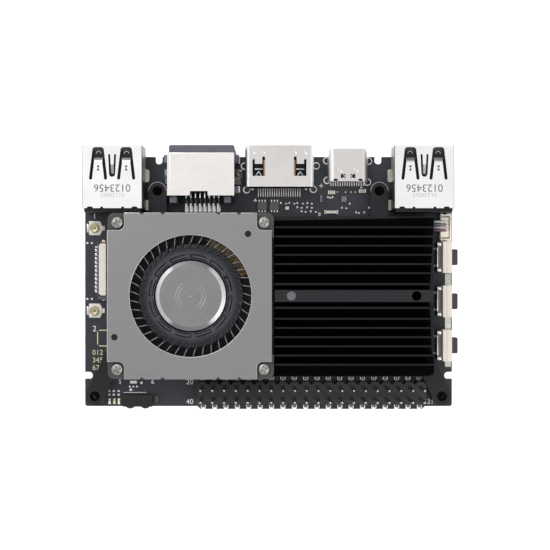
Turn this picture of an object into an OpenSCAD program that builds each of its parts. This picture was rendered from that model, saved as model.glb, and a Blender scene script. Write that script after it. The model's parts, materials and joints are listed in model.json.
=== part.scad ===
// Single board computer, 82 mm wide, with a blower-cooled heatsink.
// Millimetres. The origin is the centre of the board's main rectangle, on its underside.
// +X points to the button side, +Y to the large connectors, +Z up out of the fan.

/* [Board] */
// Board width along X
board_w = 82; // [80:0.5:84]
// Board length along Y, without the header tab
board_l = 55.7; // [55.5:0.1:56.5]
// Board thickness
board_t = 1.2; // [1:0.1:1.6]
// How far the header tab reaches past the lower edge
tab_reach = 0.65; // [0.4:0.05:1]
// Mounting hole diameter
hole_d = 2.2; // [2:0.1:2.4]
// Spacing of the two upper mounting holes
upper_span = 48.9; // [48.5:0.1:49.3]
// Y of the upper mounting holes
upper_y = 20; // [19.5:0.1:20.3]
// Spacing of the two lower mounting holes
lower_span = 76.5; // [76:0.1:76.8]
// Y of the lower mounting holes
lower_y = -25.27; // [-25.4:0.01:-25]

/* [Heatsink] */
// Clear height between board and heatsink
sink_lift = 1.8; // [1.6:0.1:2.2]
// Thickness of the heatsink's base plate
sink_base_t = 1.8; // [1.4:0.1:2.2]
// Height of the fins over the base plate
fin_h = 5.4; // [4:0.1:7]
// Thickness of a fin
fin_t = 0.5; // [0.4:0.05:0.7]
// Spacing of the fins
fin_pitch = 1.98; // [1.9:0.02:2]
// Fins on each side of the middle rib
fin_count = 6; // [4:1:6]

/* [Fan] */
// Side of the square fan
fan_w = 36; // [35.6:0.1:36]
// Height of the fan frame
fan_h = 4.9; // [4.9:0.1:5.4]
// Diameter of the air inlet
inlet_d = 26.3; // [25:0.1:28]
// Diameter of the impeller over its blades
impeller_d = 30.6; // [30:0.1:31]
// Number of blades
blade_count = 41; // [31:2:45]
// Diameter of the steel rotor cap
rotor_d = 15.5; // [15:0.1:15.8]

/* [Connectors] */
// Width of a tall USB port
usb_w = 13.1; // [13:0.1:13.3]
// Height of a tall USB port
usb_h = 7; // [6.8:0.1:7.4]
// Width of the network socket
net_w = 14.2; // [14:0.1:14.4]
// Depth the network socket sinks below the board's underside
net_sink = 2.9; // [2.5:0.1:3.2]
// Width of the video socket
video_w = 15; // [14.8:0.1:15.2]
// Height of the video socket
video_h = 6.1; // [5.8:0.1:6.4]
// Pins in one row of the header
header_count = 20; // [18:1:20]
// Height of the header pins over the board
pin_h = 9.7; // [8.5:0.1:11]

/* [Buttons] */
// How far a button stands out past the board's edge
button_reach = 0.85; // [0.5:0.05:1.2]
// Travel of a button
button_travel = 0.25; // [0.15:0.01:0.3]

/* [Hidden] */
$fn = 48;
gap = 0.01;
top = board_t;
edge_x = board_w / 2;
edge_y = board_l / 2;
tab_y = -edge_y - tab_reach;
hole_r = hole_d / 2;
pitch = 2.54;
header_x = 9.55;
header_y = -24.72;
header_half = header_count * pitch / 2;
usb_x = 33.95;
usb_front = 29.68;
usb_len = 13.69;
usb_sheet = 0.3;
usb_floor = 1.25;
net_x = -14.88;
net_front = 29.68;
net_frame_y = 28.05;
net_rear = 18.72;
net_top = top + 7.4;
net_sheet = 0.25;
contact_pitch = 1.016;
video_x = 2.43;
video_front = 29.8;
video_rear = 20.73;
video_sheet = 0.3;
usbc_x = 17.58;
usbc_front = 29.39;
usbc_rear = 22.17;
usbc_w = 8.94;
usbc_h = 3.26;
usbc_sheet = 0.3;
half_pitch = 0.5;
sink_z = top + sink_lift;
sink_top = sink_z + sink_base_t;
fin_y = -3.07;
fin_x0 = 1.41;
fin_x1 = 35.6;
rib_w = 2.58;
base_x0 = -34.8;
base_x1 = 36.5;
base_y0 = -20.8;
base_y1 = 14.4;
arm_w = 4;
fan_x = -16.8;
fan_y = -3.08;
fan_floor = 0.6;
cover_t = 0.3;
cover_z = sink_top + fan_h;
screw_at = 15.85;
scroll_r = 16.3;
blade_r = impeller_d / 2;
hub_r = 10.4;
rotor_r = rotor_d / 2;
rotor_top = cover_z - 0.1;
rotor_skirt = rotor_top - 3.4;
hub_z = sink_top + 1.2;
blade_z = sink_top + 1.3;
blade_top = rotor_top - 0.9;
bearing_r = 1.6;
shaft_r = 0.75;
tube_r = 2.3;
button_ys = [5.4, -4.36, -14.12];
button_z = top + 1.75;
wire_ys = [11.45, 12.1, 12.75, 13.4];
wire_r = 0.28;
wire_z = top + 0.95;
wire_rise_x = -8;
latch_x = -36.35;
latch_z = top + 0.72;

module block(x0, x1, y0, y1, z0, z1) {
  translate([x0, y0, z0]) cube([x1 - x0, y1 - y0, z1 - z0]);
}

module box_at(x, y, w, l, z0, z1) {
  block(x - w / 2, x + w / 2, y - l / 2, y + l / 2, z0, z1);
}

module disc(x, y, z, r, h) {
  translate([x, y, z]) cylinder(r = r, h = h);
}

module pipe(ro, ri, z0, z1) {
  difference() {
    disc(0, 0, z0, ro, z1 - z0);
    disc(0, 0, z0 - 1, ri, z1 - z0 + 2);
  }
}

module rounded(w, l, r) {
  square([w - 2 * r, l], center = true);
  square([w, l - 2 * r], center = true);
  for (x = [-1, 1], y = [-1, 1])
    translate([x * (w / 2 - r), y * (l / 2 - r)]) circle(r = r);
}

module along_y(y0, y1) {
  translate([0, y1, 0]) rotate([90, 0, 0]) linear_extrude(y1 - y0) children();
}

module mount_points() {
  for (s = [-1, 1]) {
    translate([s * upper_span / 2, upper_y, 0]) children();
    translate([s * lower_span / 2, lower_y, 0]) children();
  }
}

// ---------- board ----------

module edge_notches() {
  for (s = [-1, 1]) {
    box_at(s * 24.5, edge_y, 1.6, 1.7, -1, top + 1);
    disc(s * 24.5, edge_y - 0.85, -1, 0.8, top + 2);
    box_at(s * edge_x, -21, 1.8, 1.6, -1, top + 1);
    disc(s * (edge_x - 0.9), -21, -1, 0.8, top + 2);
  }
}

module board() color("#17181a") difference() {
  union() {
    linear_extrude(top) rounded(board_w, board_l, 0.5);
    linear_extrude(top) polygon([
      [header_x - header_half, -edge_y + 1], [header_x - header_half, -edge_y],
      [header_x - header_half + tab_reach, tab_y], [header_x + header_half - tab_reach, tab_y],
      [header_x + header_half, -edge_y], [header_x + header_half, -edge_y + 1]]);
  }
  edge_notches();
  block(net_x - net_w / 2 - 0.2, net_x + net_w / 2 + 0.2, 18.3, edge_y + 1, -1, top + 1);
  mount_points() disc(0, 0, -1, hole_r, top + 2);
  for (i = [0 : header_count - 1])
    disc(header_x - header_half + (i + 0.5) * pitch, tab_y, -1, 0.45, top + 2);
}

// ---------- tall USB ports ----------

module spring_slots(x) {
  translate([x, -0.44, 0]) linear_extrude(2, center = true) difference() {
    polygon([[-1.07, 0], [1.07, 0], [1.66, -7.32], [-1.66, -7.32]]);
    polygon([[-0.72, -2.36], [0.72, -2.36], [1.11, -7.4], [-1.11, -7.4]]);
  }
}

module usb_shell() {
  translate([0, usb_front, top]) difference() {
    translate([0, -usb_len / 2, usb_h / 2]) cube([usb_w, usb_len, usb_h], center = true);
    block(-usb_w / 2 + usb_sheet, usb_w / 2 - usb_sheet, -usb_len - 1, 1,
      usb_floor + usb_sheet, usb_h - usb_sheet);
    block(-usb_w / 2 + usb_sheet, usb_w / 2 - usb_sheet, -usb_len - 1, 1, -1, usb_floor);
    translate([0, 0, usb_h]) {
      spring_slots(-3.05);
      spring_slots(3.05);
      translate([0, -1.94, 0]) linear_extrude(2, center = true) difference() {
        polygon([[-0.65, 0], [0.65, 0], [0.45, -4.82], [-0.45, -4.82]]);
        polygon([[-0.25, -0.4], [0.25, -0.4], [0.2, -3.9], [-0.2, -3.9]]);
      }
    }
  }
}

module usb_insulator() {
  translate([0, usb_front, top]) {
    block(-6.2, 6.2, -usb_len - 0.8, -11, usb_floor + usb_sheet + gap, usb_h - usb_sheet - 0.4);
    block(-5.55, 5.55, -11.5, -1.2, 4.35, 6.15);
    block(-6.2, 6.2, -usb_len - 0.8, -1.2, 0, usb_floor - gap);
  }
}

module usb_contacts() {
  translate([0, usb_front, top]) {
    for (x = [-3.5, -1, 1, 3.5])
      block(x - 0.5, x + 0.5, -10.9, -3, 4.2, 4.34);
    for (x = [-4, -2, 0, 2, 4])
      block(x - 0.3, x + 0.3, -2.6, -1.4, 4.2, 4.34);
    for (x = [-3.5, -1, 1, 3.5])
      block(x - 0.25, x + 0.25, -usb_len - 1.5, -usb_len - 0.81, 0, 0.3);
  }
}

module usb_left_shell() color("#c9cbcd") translate([-usb_x, 0, 0]) usb_shell();
module usb_left_insulator() color("#151515") translate([-usb_x, 0, 0]) usb_insulator();
module usb_left_contacts() color("#d2a64a") translate([-usb_x, 0, 0]) usb_contacts();
module usb_right_shell() color("#c9cbcd") translate([usb_x, 0, 0]) usb_shell();
module usb_right_insulator() color("#151515") translate([usb_x, 0, 0]) usb_insulator();
module usb_right_contacts() color("#d2a64a") translate([usb_x, 0, 0]) usb_contacts();

// ---------- network socket ----------

module ethernet_housing() color("#3a3b3d") translate([net_x, 0, 0]) difference() {
  union() {
    block(-net_w / 2 + net_sheet + gap, net_w / 2 - net_sheet - gap, net_rear, net_frame_y,
      -net_sink + net_sheet + gap, net_top - net_sheet - gap);
    block(-net_w / 2, net_w / 2, net_frame_y + gap, net_front, -net_sink, net_top);
    block(-net_w / 2, net_w / 2, 17.5, net_rear - gap, top, top + 1.6);
    block(-7.1, -5.7, 17, net_rear, top, top + 3);
    block(4.8, 6.3, 17, net_rear, top, top + 3);
  }
  block(-5.9, 5.9, 19.6, net_front + 1, 0.6, 7.4);
  block(-3.2, 3.2, 19.6, net_front + 1, -0.9, 1);
  block(-1.9, 1.9, 22, net_front + 1, -2, 0);
}

module ethernet_shell() color("#c4c6c8") translate([net_x, 0, 0]) {
  difference() {
    block(-net_w / 2, net_w / 2, net_rear, net_frame_y, -net_sink, net_top);
    block(-net_w / 2 + net_sheet, net_w / 2 - net_sheet, net_rear - 1, net_frame_y + 1,
      -net_sink + net_sheet, net_top - net_sheet);
    block(-2.3, 1.7, net_rear - 1, net_rear + 1, 4, net_top + 1);
  }
  for (y = [27, 22.35, 20.6]) box_at(net_w / 2 + 0.7, y, 1.4, 1.4, top, top + 0.3);
  for (y = [27, 23.2]) box_at(-net_w / 2 - 0.3, y, 0.6, 1.4, top, top + 0.3);
}

module ethernet_contacts() color("#d2a64a") {
  for (i = [0 : 7]) {
    x = net_x + 0.06 + (i - 3.5) * contact_pitch;
    block(x - 0.23, x + 0.23, 15.5, 17.5 - gap, top, top + 0.25);
    translate([x - 0.23, 28.4, 7.1]) rotate([-167, 0, 0]) cube([0.46, 7, 0.3]);
  }
}

// ---------- video socket ----------

module video_profile(inset) {
  w = video_w / 2 - inset;
  foot = 6.2 - 0.45 * inset;
  polygon([[-w, video_h - inset], [w, video_h - inset], [w, 2.3 + 0.4 * inset],
    [foot, 0.5 + inset], [-foot, 0.5 + inset], [-w, 2.3 + 0.4 * inset]]);
}

module hdmi_shell() color("#c6c8ca") translate([video_x, 0, top]) {
  difference() {
    along_y(video_rear, video_front) video_profile(0);
    along_y(video_rear - 1, video_front + 1) video_profile(video_sheet);
    for (s = [-1, 1]) {
      box_at(s * 4.4, 26.6, 0.4, 3.6, video_h - 1, video_h + 1);
      box_at(s * 2.6, 26.6, 0.4, 3.6, video_h - 1, video_h + 1);
      box_at(s * 3.5, 26.6, 1.8, 0.5, video_h - 1, video_h + 1);
    }
  }
  for (s = [-1, 1], y = [20.9, 25.8])
    box_at(s * (video_w / 2 - 0.15), y + 0.6, 0.3, 1.4, 0, 2.6);
}

module hdmi_insulator() color("#141414") translate([video_x, 0, top]) {
  along_y(video_rear, 23) video_profile(video_sheet + gap);
  block(-5.9, 5.9, 22.5, 29, 2.6, 4.1);
}

module hdmi_contacts() color("#d2a64a") translate([video_x, 0, top]) {
  for (i = [0 : 18]) {
    x = (i - 9) * half_pitch;
    block(x - 0.13, x + 0.13, 18.7, video_rear - gap, 0, 0.15);
    if (i % 2 == 0) block(x - 0.18, x + 0.18, 23.3, 28.6, 4.11, 4.2);
    else block(x - 0.18, x + 0.18, 23.3, 28.6, 2.5, 2.59);
  }
}

// ---------- small USB socket ----------

module obround(w, h) {
  square([w - h, h], center = true);
  for (s = [-1, 1]) translate([s * (w - h) / 2, 0]) circle(r = h / 2);
}

module usb_c_shell() color("#c6c8ca") translate([usbc_x, 0, top]) difference() {
  along_y(usbc_rear, usbc_front) translate([0, usbc_h / 2]) obround(usbc_w, usbc_h);
  along_y(usbc_rear - 1, usbc_front + 1) translate([0, usbc_h / 2])
    obround(usbc_w - 2 * usbc_sheet, usbc_h - 2 * usbc_sheet);
  for (s = [-1, 1]) {
    box_at(s * 1.05, 23.4, 1.2, 0.6, 2, 5);
    box_at(s * 2.65, usbc_rear, 0.9, 1.2, 2, 5);
  }
}

module usb_c_insulator() color("#161616") translate([usbc_x, 0, top + usbc_h / 2]) {
  along_y(usbc_rear + 0.1, 24.4)
    obround(usbc_w - 2 * usbc_sheet - 2 * gap, usbc_h - 2 * usbc_sheet - 2 * gap);
  box_at(0, 26.4, 6.7, 4.6, -0.35, 0.35);
}

module usb_c_contacts() color("#d2a64a") translate([usbc_x, 0, top]) {
  for (i = [0 : 11]) {
    x = (i - 5.5) * half_pitch;
    block(x - 0.12, x + 0.12, 21, usbc_rear + 0.1 - gap, 0, 0.15);
    block(x - 0.12, x + 0.12, 24.6, 28.4, usbc_h / 2 + 0.36, usbc_h / 2 + 0.42);
    block(x - 0.12, x + 0.12, 24.6, 28.4, usbc_h / 2 - 0.42, usbc_h / 2 - 0.36);
  }
}

// ---------- pin header ----------

module header_cell(x) {
  c = 0.45;
  h = pitch / 2;
  translate([x, header_y, top + 0.5]) linear_extrude(2.6) polygon([
    [-h, -pitch + c], [-h + c, -pitch], [h - c, -pitch], [h, -pitch + c],
    [h, pitch - c], [h - c, pitch], [-h + c, pitch], [-h, pitch - c]]);
}

module pin_columns() {
  for (i = [0 : header_count - 1], s = [-1, 1])
    translate([header_x - header_half + (i + 0.5) * pitch, header_y, 0]) mirror([0, s > 0 ? 0 : 1, 0])
      children();
}

module header_body() color("#161616") difference() {
  union() {
    for (i = [0 : header_count - 1]) header_cell(header_x - header_half + (i + 0.5) * pitch);
  }
  pin_columns() box_at(0, pitch / 2, 0.66, 0.66, top, top + 4);
}

module header_pins() color("#d8c07a") {
  pin_columns() {
    box_at(0, pitch / 2, 0.64, 0.64, top, top + pin_h);
    block(-0.32, 0.32, pitch / 2, 3.2, top, top + 0.4);
  }
}

// ---------- ribbon socket ----------

module ribbon_socket_body() color("#2f3a30") difference() {
  block(-38.05, -36.0, -4.1, 8.8, top, top + 1.1);
  block(-37.75, -35.9, -3.25, 8.65, top + 0.3, top + 2);
}

module ribbon_socket_contacts() color("#d2a64a") {
  for (i = [0 : 11])
    box_at(-38.4, 2.7 + (i - 5.5) * 0.91, 0.7, 0.35, top, top + 0.15);
}

module ribbon_latch() color("#e9e2cf") {
  block(-37.65, -36.6, -3.1, 8.5, top + 0.42, top + 1.02);
  translate([latch_x, -3.1, latch_z]) rotate([-90, 0, 0]) cylinder(r = 0.3, h = 11.6);
  block(-36.7, latch_x, -3.1, 8.5, top + 0.6, top + 1.02);
}

// ---------- antenna sockets ----------

module antenna_bases() color("#e6dfca") {
  for (y = [11.92, -6.52]) translate([-38.7, y, top]) {
    box_at(0, 0, 2.6, 2.6, 0, 0.35);
    box_at(0, 1.45, 2.2, 0.28, 0, 0.12);
    box_at(0, -1.45, 2.2, 0.28, 0, 0.12);
    box_at(1.7, 0, 0.75, 1, 0, 0.12);
  }
}

module antenna_rings() color("#d2a64a") {
  for (y = [11.92, -6.52]) translate([-38.7, y, top]) {
    pipe(1, 0.8, 0.35, 1.25);
    disc(0, 0, 0.35, 0.22, 0.75);
  }
}

// ---------- fan socket, plug and wires ----------

module fan_socket() color("#e9e3d2") difference() {
  block(38.2, 40.6, 8.96, 15.1, top, top + 1.9);
  block(38, 40.15, 9.75, 14.35, top + 0.4, top + 2.5);
}

module fan_plug() color("#efeadc") difference() {
  block(38.25, 40.1, 9.85, 14.25, top + 0.45, top + 1.55);
  for (y = wire_ys) block(38, 39.7, y - wire_r - gap, y + wire_r + gap, wire_z - wire_r - gap, top + 2);
}

module fan_wires() color("#5a5360") {
  for (y = wire_ys) {
    translate([wire_rise_x, y, wire_z]) rotate([0, 90, 0]) cylinder(r = wire_r, h = 39.6 - wire_rise_x);
    translate([wire_rise_x, y, wire_z]) sphere(r = wire_r);
    disc(wire_rise_x, y, wire_z, wire_r, sink_top - gap - wire_z);
  }
}

// ---------- side buttons ----------

module switch_body(y) color("#e8e3d6") difference() {
  block(38.5, 40.5, y - 3.5, y + 3.5, top, top + 3.5);
  box_at(39.25, y, 1.7, 3.7, button_z - 1.15, button_z + 1.15);
  box_at(40.3, y, 1, 3, button_z - 0.8, button_z + 0.8);
}

module switch_cover(y, sides) color("#bfc1c3") {
  difference() {
    block(37.3, 38.5 - gap, y - 3.3, y + 3.3, top, top + 3.2);
    block(37.5, 38.6, y - 3.1, y + 3.1, top - 1, top + 3);
    box_at(37.3, y, 1, 3.4, top - 1, top + 1.6);
  }
  for (s = sides) box_at(40, y + s * 4.17, 1.6, 1.3, top, top + 0.3);
}

module switch_button(y) color("#3c3d40") {
  block(39.7, edge_x + button_reach, y - 1.45, y + 1.45, button_z - 0.75, button_z + 0.75);
  block(39.35, 39.75, y - 1.75, y + 1.75, button_z - 1.05, button_z + 1.05);
}

module power_switch_body() switch_body(button_ys[0]);
module power_switch_cover() switch_cover(button_ys[0], [-1]);
module power_button() switch_button(button_ys[0]);
module function_switch_body() switch_body(button_ys[1]);
module function_switch_cover() switch_cover(button_ys[1], [-1, 1]);
module function_button() switch_button(button_ys[1]);
module reset_switch_body() switch_body(button_ys[2]);
module reset_switch_cover() switch_cover(button_ys[2], [-1, 1]);
module reset_button() switch_button(button_ys[2]);

module switch_domes() color("#b9bcc0") {
  for (y = button_ys)
    translate([38.5, y, button_z]) rotate([0, 90, 0]) cylinder(r = 1.1, h = 0.39);
}

// ---------- lights and infrared receiver ----------

module status_leds() color("#eceadb") {
  for (x = [-35.5, -34.45, -33.4]) {
    box_at(x, -26.65, 0.65, 1.15, top, top + 0.3);
    box_at(x, -26.65, 0.6, 0.75, top + 0.3, top + 0.55);
  }
}

module infrared_receiver() color("#101010") difference() {
  union() {
    block(-32.5, -25.9, -27.2, -25.3, top, top + 2);
    for (x = [-30.8, -27.2]) translate([x, -26.9, top + 1]) sphere(r = 1);
  }
  block(-33, -25, -29, -24, top - 2, top);
}

// ---------- chips and pads under the heatsink ----------

module processor() color("#1b1c1e") {
  box_at(8, -3.07, 15, 15, top, top + 0.8);
  box_at(8, -3.07, 12.4, 12.4, top + 0.8, top + 1.2);
}

module memory_chips() color("#1a1a1c") {
  for (y = [3.5, -10.5]) box_at(-9.5, y, 10, 11, top, top + 0.9);
}

module power_chips() color("#202124") {
  box_at(25.5, -8, 7, 7, top, top + 0.9);
  box_at(25.5, 4, 5, 5, top, top + 0.9);
  for (x = [19.6, 31.4], y = [-9.5, -3.5, 2.5]) box_at(x, y, 2.5, 2.5, top, top + 1.2);
}

module wireless_module() color("#b9bbbe") box_at(-27, 3.5, 12, 12, top, top + 1.5);

module thermal_pads() color("#8fa0a8") {
  box_at(8, -3.07, 12, 12, top + 1.2, sink_z);
  for (y = [3.5, -10.5]) box_at(-9.5, y, 9, 10, top + 0.9, sink_z);
  box_at(25.5, -8, 6, 6, top + 0.9, sink_z);
}

// ---------- heatsink ----------

module lower_arm(s) {
  x0 = 35.3;
  y0 = -18;
  dx = lower_span / 2 - x0;
  dy = lower_y - y0;
  mirror([s > 0 ? 0 : 1, 0, 0]) translate([x0, y0, sink_z]) rotate([0, 0, atan2(dy, dx)])
    block(-1, sqrt(dx * dx + dy * dy), -arm_w / 2, arm_w / 2, 0, sink_base_t);
}

module fins() {
  block(fin_x0, fin_x1, fin_y - rib_w / 2, fin_y + rib_w / 2, sink_top, sink_top + fin_h);
  for (s = [-1, 1]) {
    y1 = fin_y + s * 2.56;
    block(fin_x0, fin_x1, y1 - 0.35, y1 + 0.35, sink_top, sink_top + fin_h);
    for (k = [1 : fin_count]) {
      y = fin_y + s * (2.93 + fin_pitch * k);
      block(fin_x0, fin_x1, y - fin_t / 2, y + fin_t / 2, sink_top, sink_top + fin_h);
    }
  }
}

module heatsink() color("#1c1d20") difference() {
  union() {
    block(base_x0, base_x1, base_y0, base_y1, sink_z, sink_top);
    fins();
    for (s = [-1, 1]) {
      box_at(s * upper_span / 2, (upper_y + base_y1) / 2, arm_w, upper_y - base_y1 + 0.02,
        sink_z, sink_top);
      lower_arm(s);
    }
    mount_points() disc(0, 0, top, arm_w / 2 + 0.07, sink_top - top);
  }
  mount_points() disc(0, 0, -1, hole_r, sink_top + 2);
  disc(4.98, fin_y, sink_top + fin_h - 3, 1.05, 4);
  disc(32, fin_y, sink_top + fin_h - 2.5, 1.05, 4);
  block(wire_rise_x - 0.6, wire_rise_x + 0.6, wire_ys[0] - 0.6, wire_ys[3] + 0.6,
    sink_z - 1, sink_top + 1);
  for (x = [-1, 1], y = [-1, 1])
    disc(fan_x + x * screw_at, fan_y + y * screw_at, sink_z - 1, 0.85, sink_base_t + 2);
}

module heatsink_pin() color("#9a9c9f") disc(4.98, fin_y, sink_top + fin_h - 3, 1.03, 3);

// ---------- fan ----------

module at_fan() {
  translate([fan_x, fan_y, 0]) children();
}

module fan_corners() {
  for (x = [-1, 1], y = [-1, 1])
    translate([x * screw_at, y * screw_at, 0]) children();
}

module fan_frame() color("#141416") at_fan() difference() {
  union() {
    difference() {
      block(-fan_w / 2, fan_w / 2, -fan_w / 2, fan_w / 2, sink_top, cover_z);
      disc(0, 0, sink_top + fan_floor, scroll_r, 10);
      block(0, fan_w, -12.6, 12.6, sink_top + fan_floor, cover_z + 1);
    }
    disc(0, 0, sink_top, tube_r, 3.4);
  }
  disc(0, 0, sink_top + 0.4, bearing_r, 10);
  fan_corners() {
    disc(0, 0, sink_top - 1, 0.9, 10);
    box_at(0, 0, 4.4, 4.4, cover_z - 0.6, cover_z + 1);
  }
}

module edge_vees() {
  for (x = [-10.5, -6, 6, 10.5], s = [-1, 1])
    translate([x, s * fan_w / 2, cover_z - 1]) linear_extrude(3)
      polygon([[-0.7, s], [0.7, s], [0, -1.2 * s]]);
}

module fan_cover() color("#c3c5c8") at_fan() difference() {
  block(-fan_w / 2, 17.56, -fan_w / 2, fan_w / 2, cover_z, cover_z + cover_t);
  disc(0, 0, cover_z - 1, inlet_d / 2, 3);
  for (x = [-1, 1], y = [-1, 1])
    box_at(x * 17.2, y * 17.2, 5.4, 5.4, cover_z - 1, cover_z + 1);
  edge_vees();
  disc(12.43, 13.41, cover_z - 1, 0.7, 3);
  disc(-16.4, -8.89, cover_z - 1, 0.7, 3);
}

module fan_screws() color("#4a4b4e") at_fan() fan_corners() difference() {
  union() {
    disc(0, 0, cover_z - 0.6, 1.27, 0.75);
    disc(0, 0, sink_z + 0.3, 0.8, cover_z - 0.6 - sink_z - 0.3);
  }
  box_at(0, 0, 1.5, 0.32, cover_z - 0.2, cover_z + 1);
  box_at(0, 0, 0.32, 1.5, cover_z - 0.2, cover_z + 1);
}

module blade() {
  linear_extrude(blade_top - blade_z) polygon([
    [9.6 * cos(4.5), 9.6 * sin(4.5)], [12 * cos(-2), 12 * sin(-2)],
    [blade_r * cos(-7.2), blade_r * sin(-7.2)], [blade_r * cos(-5.9), blade_r * sin(-5.9)],
    [12 * cos(-0.4), 12 * sin(-0.4)], [9.6 * cos(6.5), 9.6 * sin(6.5)]]);
}

module impeller() color("#2b2d33") at_fan() {
  for (i = [0 : blade_count - 1])
    rotate([0, 0, i * 360 / blade_count]) translate([0, 0, blade_z]) blade();
  rotate_extrude() polygon([[rotor_r + gap, hub_z], [hub_r, hub_z], [hub_r, rotor_top - 0.7],
    [9.4, rotor_top - 0.2], [8.8, rotor_top - 0.2], [8.6, rotor_top - 0.4],
    [rotor_r + gap, rotor_top - 0.4]]);
}

module rotor_cap() color("#cfd1d4") at_fan() difference() {
  disc(0, 0, rotor_skirt, rotor_r, rotor_top - rotor_skirt);
  disc(0, 0, rotor_skirt - 1, rotor_r - 0.5, rotor_top - rotor_skirt + 0.7);
}

module rotor_magnet() color("#4b4c50") at_fan()
  pipe(rotor_r - 0.5 - gap, rotor_r - 1.5, rotor_skirt + 0.1, rotor_top - 0.6);

module rotor_shaft() color("#d5d7da") at_fan()
  disc(0, 0, sink_top + 0.8, shaft_r, rotor_top - 0.3 - gap - sink_top - 0.8);

module fan_bearing() color("#b08d4f") at_fan()
  pipe(bearing_r - gap, shaft_r + 0.03, sink_top + 0.5, sink_top + 3.3);

module stator_core() color("#8b8d90") at_fan() difference() {
  union() {
    pipe(3.4, tube_r + gap, sink_top + 1.3, sink_top + 3);
    for (i = [0 : 5]) rotate([0, 0, i * 60]) {
      block(3, 5.2, -0.5, 0.5, sink_top + 1.3, sink_top + 3);
      block(5, 5.6, -1.8, 1.8, sink_top + 1.3, sink_top + 3);
    }
  }
  disc(0, 0, 0, tube_r + gap, 20);
}

module stator_coils() color("#b5652c") at_fan() {
  for (i = [0 : 5]) rotate([0, 0, i * 60]) difference() {
    box_at(4.25, 0, 1.3, 2.2, sink_top + 0.9, sink_top + 3.4);
    box_at(4.25, 0, 2, 1.02, sink_top + 1.29, sink_top + 3.01);
  }
}

module fan_circuit() color("#b07a2e") at_fan() {
  translate([0, 0, sink_top + fan_floor]) linear_extrude(0.2) difference() {
    circle(r = 6.4);
    circle(r = 2.6);
  }
  translate([0, 0, sink_top + fan_floor]) linear_extrude(0.2)
    polygon([[3, 2.5], [14, 5], [13.4, 6.8], [9.6, 11.2], [4, 14], [2.5, 4]]);
}

// ---------- small parts on the board ----------

module chip(x, y, w, l, h) {
  box_at(x, y, w, l, top, top + h);
}

module small_parts_top() color("#8a8173") {
  for (x = [-1.4, 1.32]) chip(x, 16.88, 2.1, 1.9, 0.75);
  chip(4.15, 16.39, 1, 0.9, 0.5);
  for (x = [2.75, 3.95, 4.66, 5.8, 6.45, 7.72, 8.7, 9.68]) chip(x, 17.5, 0.5, 0.3, 0.25);
  for (x = [6.45, 7.4, 8.63, 9.68]) chip(x, 16.55, 0.5, 0.3, 0.25);
  for (x = [7.4, 8.3, 9.46, 10.61]) chip(x, 15.65, 0.5, 0.3, 0.25);
  chip(11.77, 18.5, 0.6, 1.5, 0.5);
  for (x = [14.09, 20.98]) chip(x, 20.05, 1.6, 0.85, 0.8);
  for (x = [15.36, 17.2, 18.4, 19.4]) chip(x, 19.95, 0.5, 0.95, 0.5);
  chip(13.8, 18.8, 1.4, 0.4, 0.25);
  chip(16.86, 18.37, 1.2, 1.4, 0.6);
  chip(14, 15.6, 3.5, 1.05, 0.8);
  chip(-25.1, -25.8, 0.6, 1.1, 0.5);
}

// ---------- underside ----------

module m2_socket() color("#141414") difference() {
  block(-6, 16, -21, -12.3, -2.9, 0);
  block(-5, 15, -19.5, -11, -2.3, -1.3);
  block(-5, 15, -14.5, -11, -3.5, -1.3);
}

module card_socket() color("#bfc1c4") difference() {
  block(-37, -22, -20, -5.5, -1.5, 0);
  block(-36, -23, -21, -6, -1.2, -0.4);
}

module small_parts_bottom() color("#1c1d1f") {
  box_at(24, 6, 11.5, 13, -1, 0);
  box_at(10, 10, 8, 8, -1, 0);
  box_at(-28, 10, 6, 6, -0.9, 0);
  for (i = [0 : 7]) box_at(-6 + i * 1.6, 8, 0.6, 1.1, -0.5, 0);
  for (i = [0 : 5]) box_at(24 + i * 1.8, -8, 0.8, 1.6, -0.8, 0);
  disc(5, 24.5, -1.6, 2.2, 1.6);
}

board();
usb_left_shell();
usb_left_insulator();
usb_left_contacts();
usb_right_shell();
usb_right_insulator();
usb_right_contacts();
ethernet_housing();
ethernet_shell();
ethernet_contacts();
hdmi_shell();
hdmi_insulator();
hdmi_contacts();
usb_c_shell();
usb_c_insulator();
usb_c_contacts();
header_body();
header_pins();
ribbon_socket_body();
ribbon_socket_contacts();
ribbon_latch();
antenna_bases();
antenna_rings();
fan_socket();
fan_plug();
fan_wires();
power_switch_body();
power_switch_cover();
power_button();
function_switch_body();
function_switch_cover();
function_button();
reset_switch_body();
reset_switch_cover();
reset_button();
switch_domes();
status_leds();
infrared_receiver();
processor();
memory_chips();
power_chips();
wireless_module();
thermal_pads();
heatsink();
heatsink_pin();
fan_frame();
fan_cover();
fan_screws();
impeller();
rotor_cap();
rotor_magnet();
rotor_shaft();
fan_bearing();
stator_core();
stator_coils();
fan_circuit();
small_parts_top();
m2_socket();
card_socket();
small_parts_bottom();
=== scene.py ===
"""Looks of the single board computer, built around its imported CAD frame. Sizes here are in millimetres."""

import json
import logging
import math
from contextlib import contextmanager
from dataclasses import dataclass
from enum import Enum
from typing import Any, Callable, Iterator, Mapping, Sequence, Union

import bpy
from mathutils import Matrix, Vector

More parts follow.
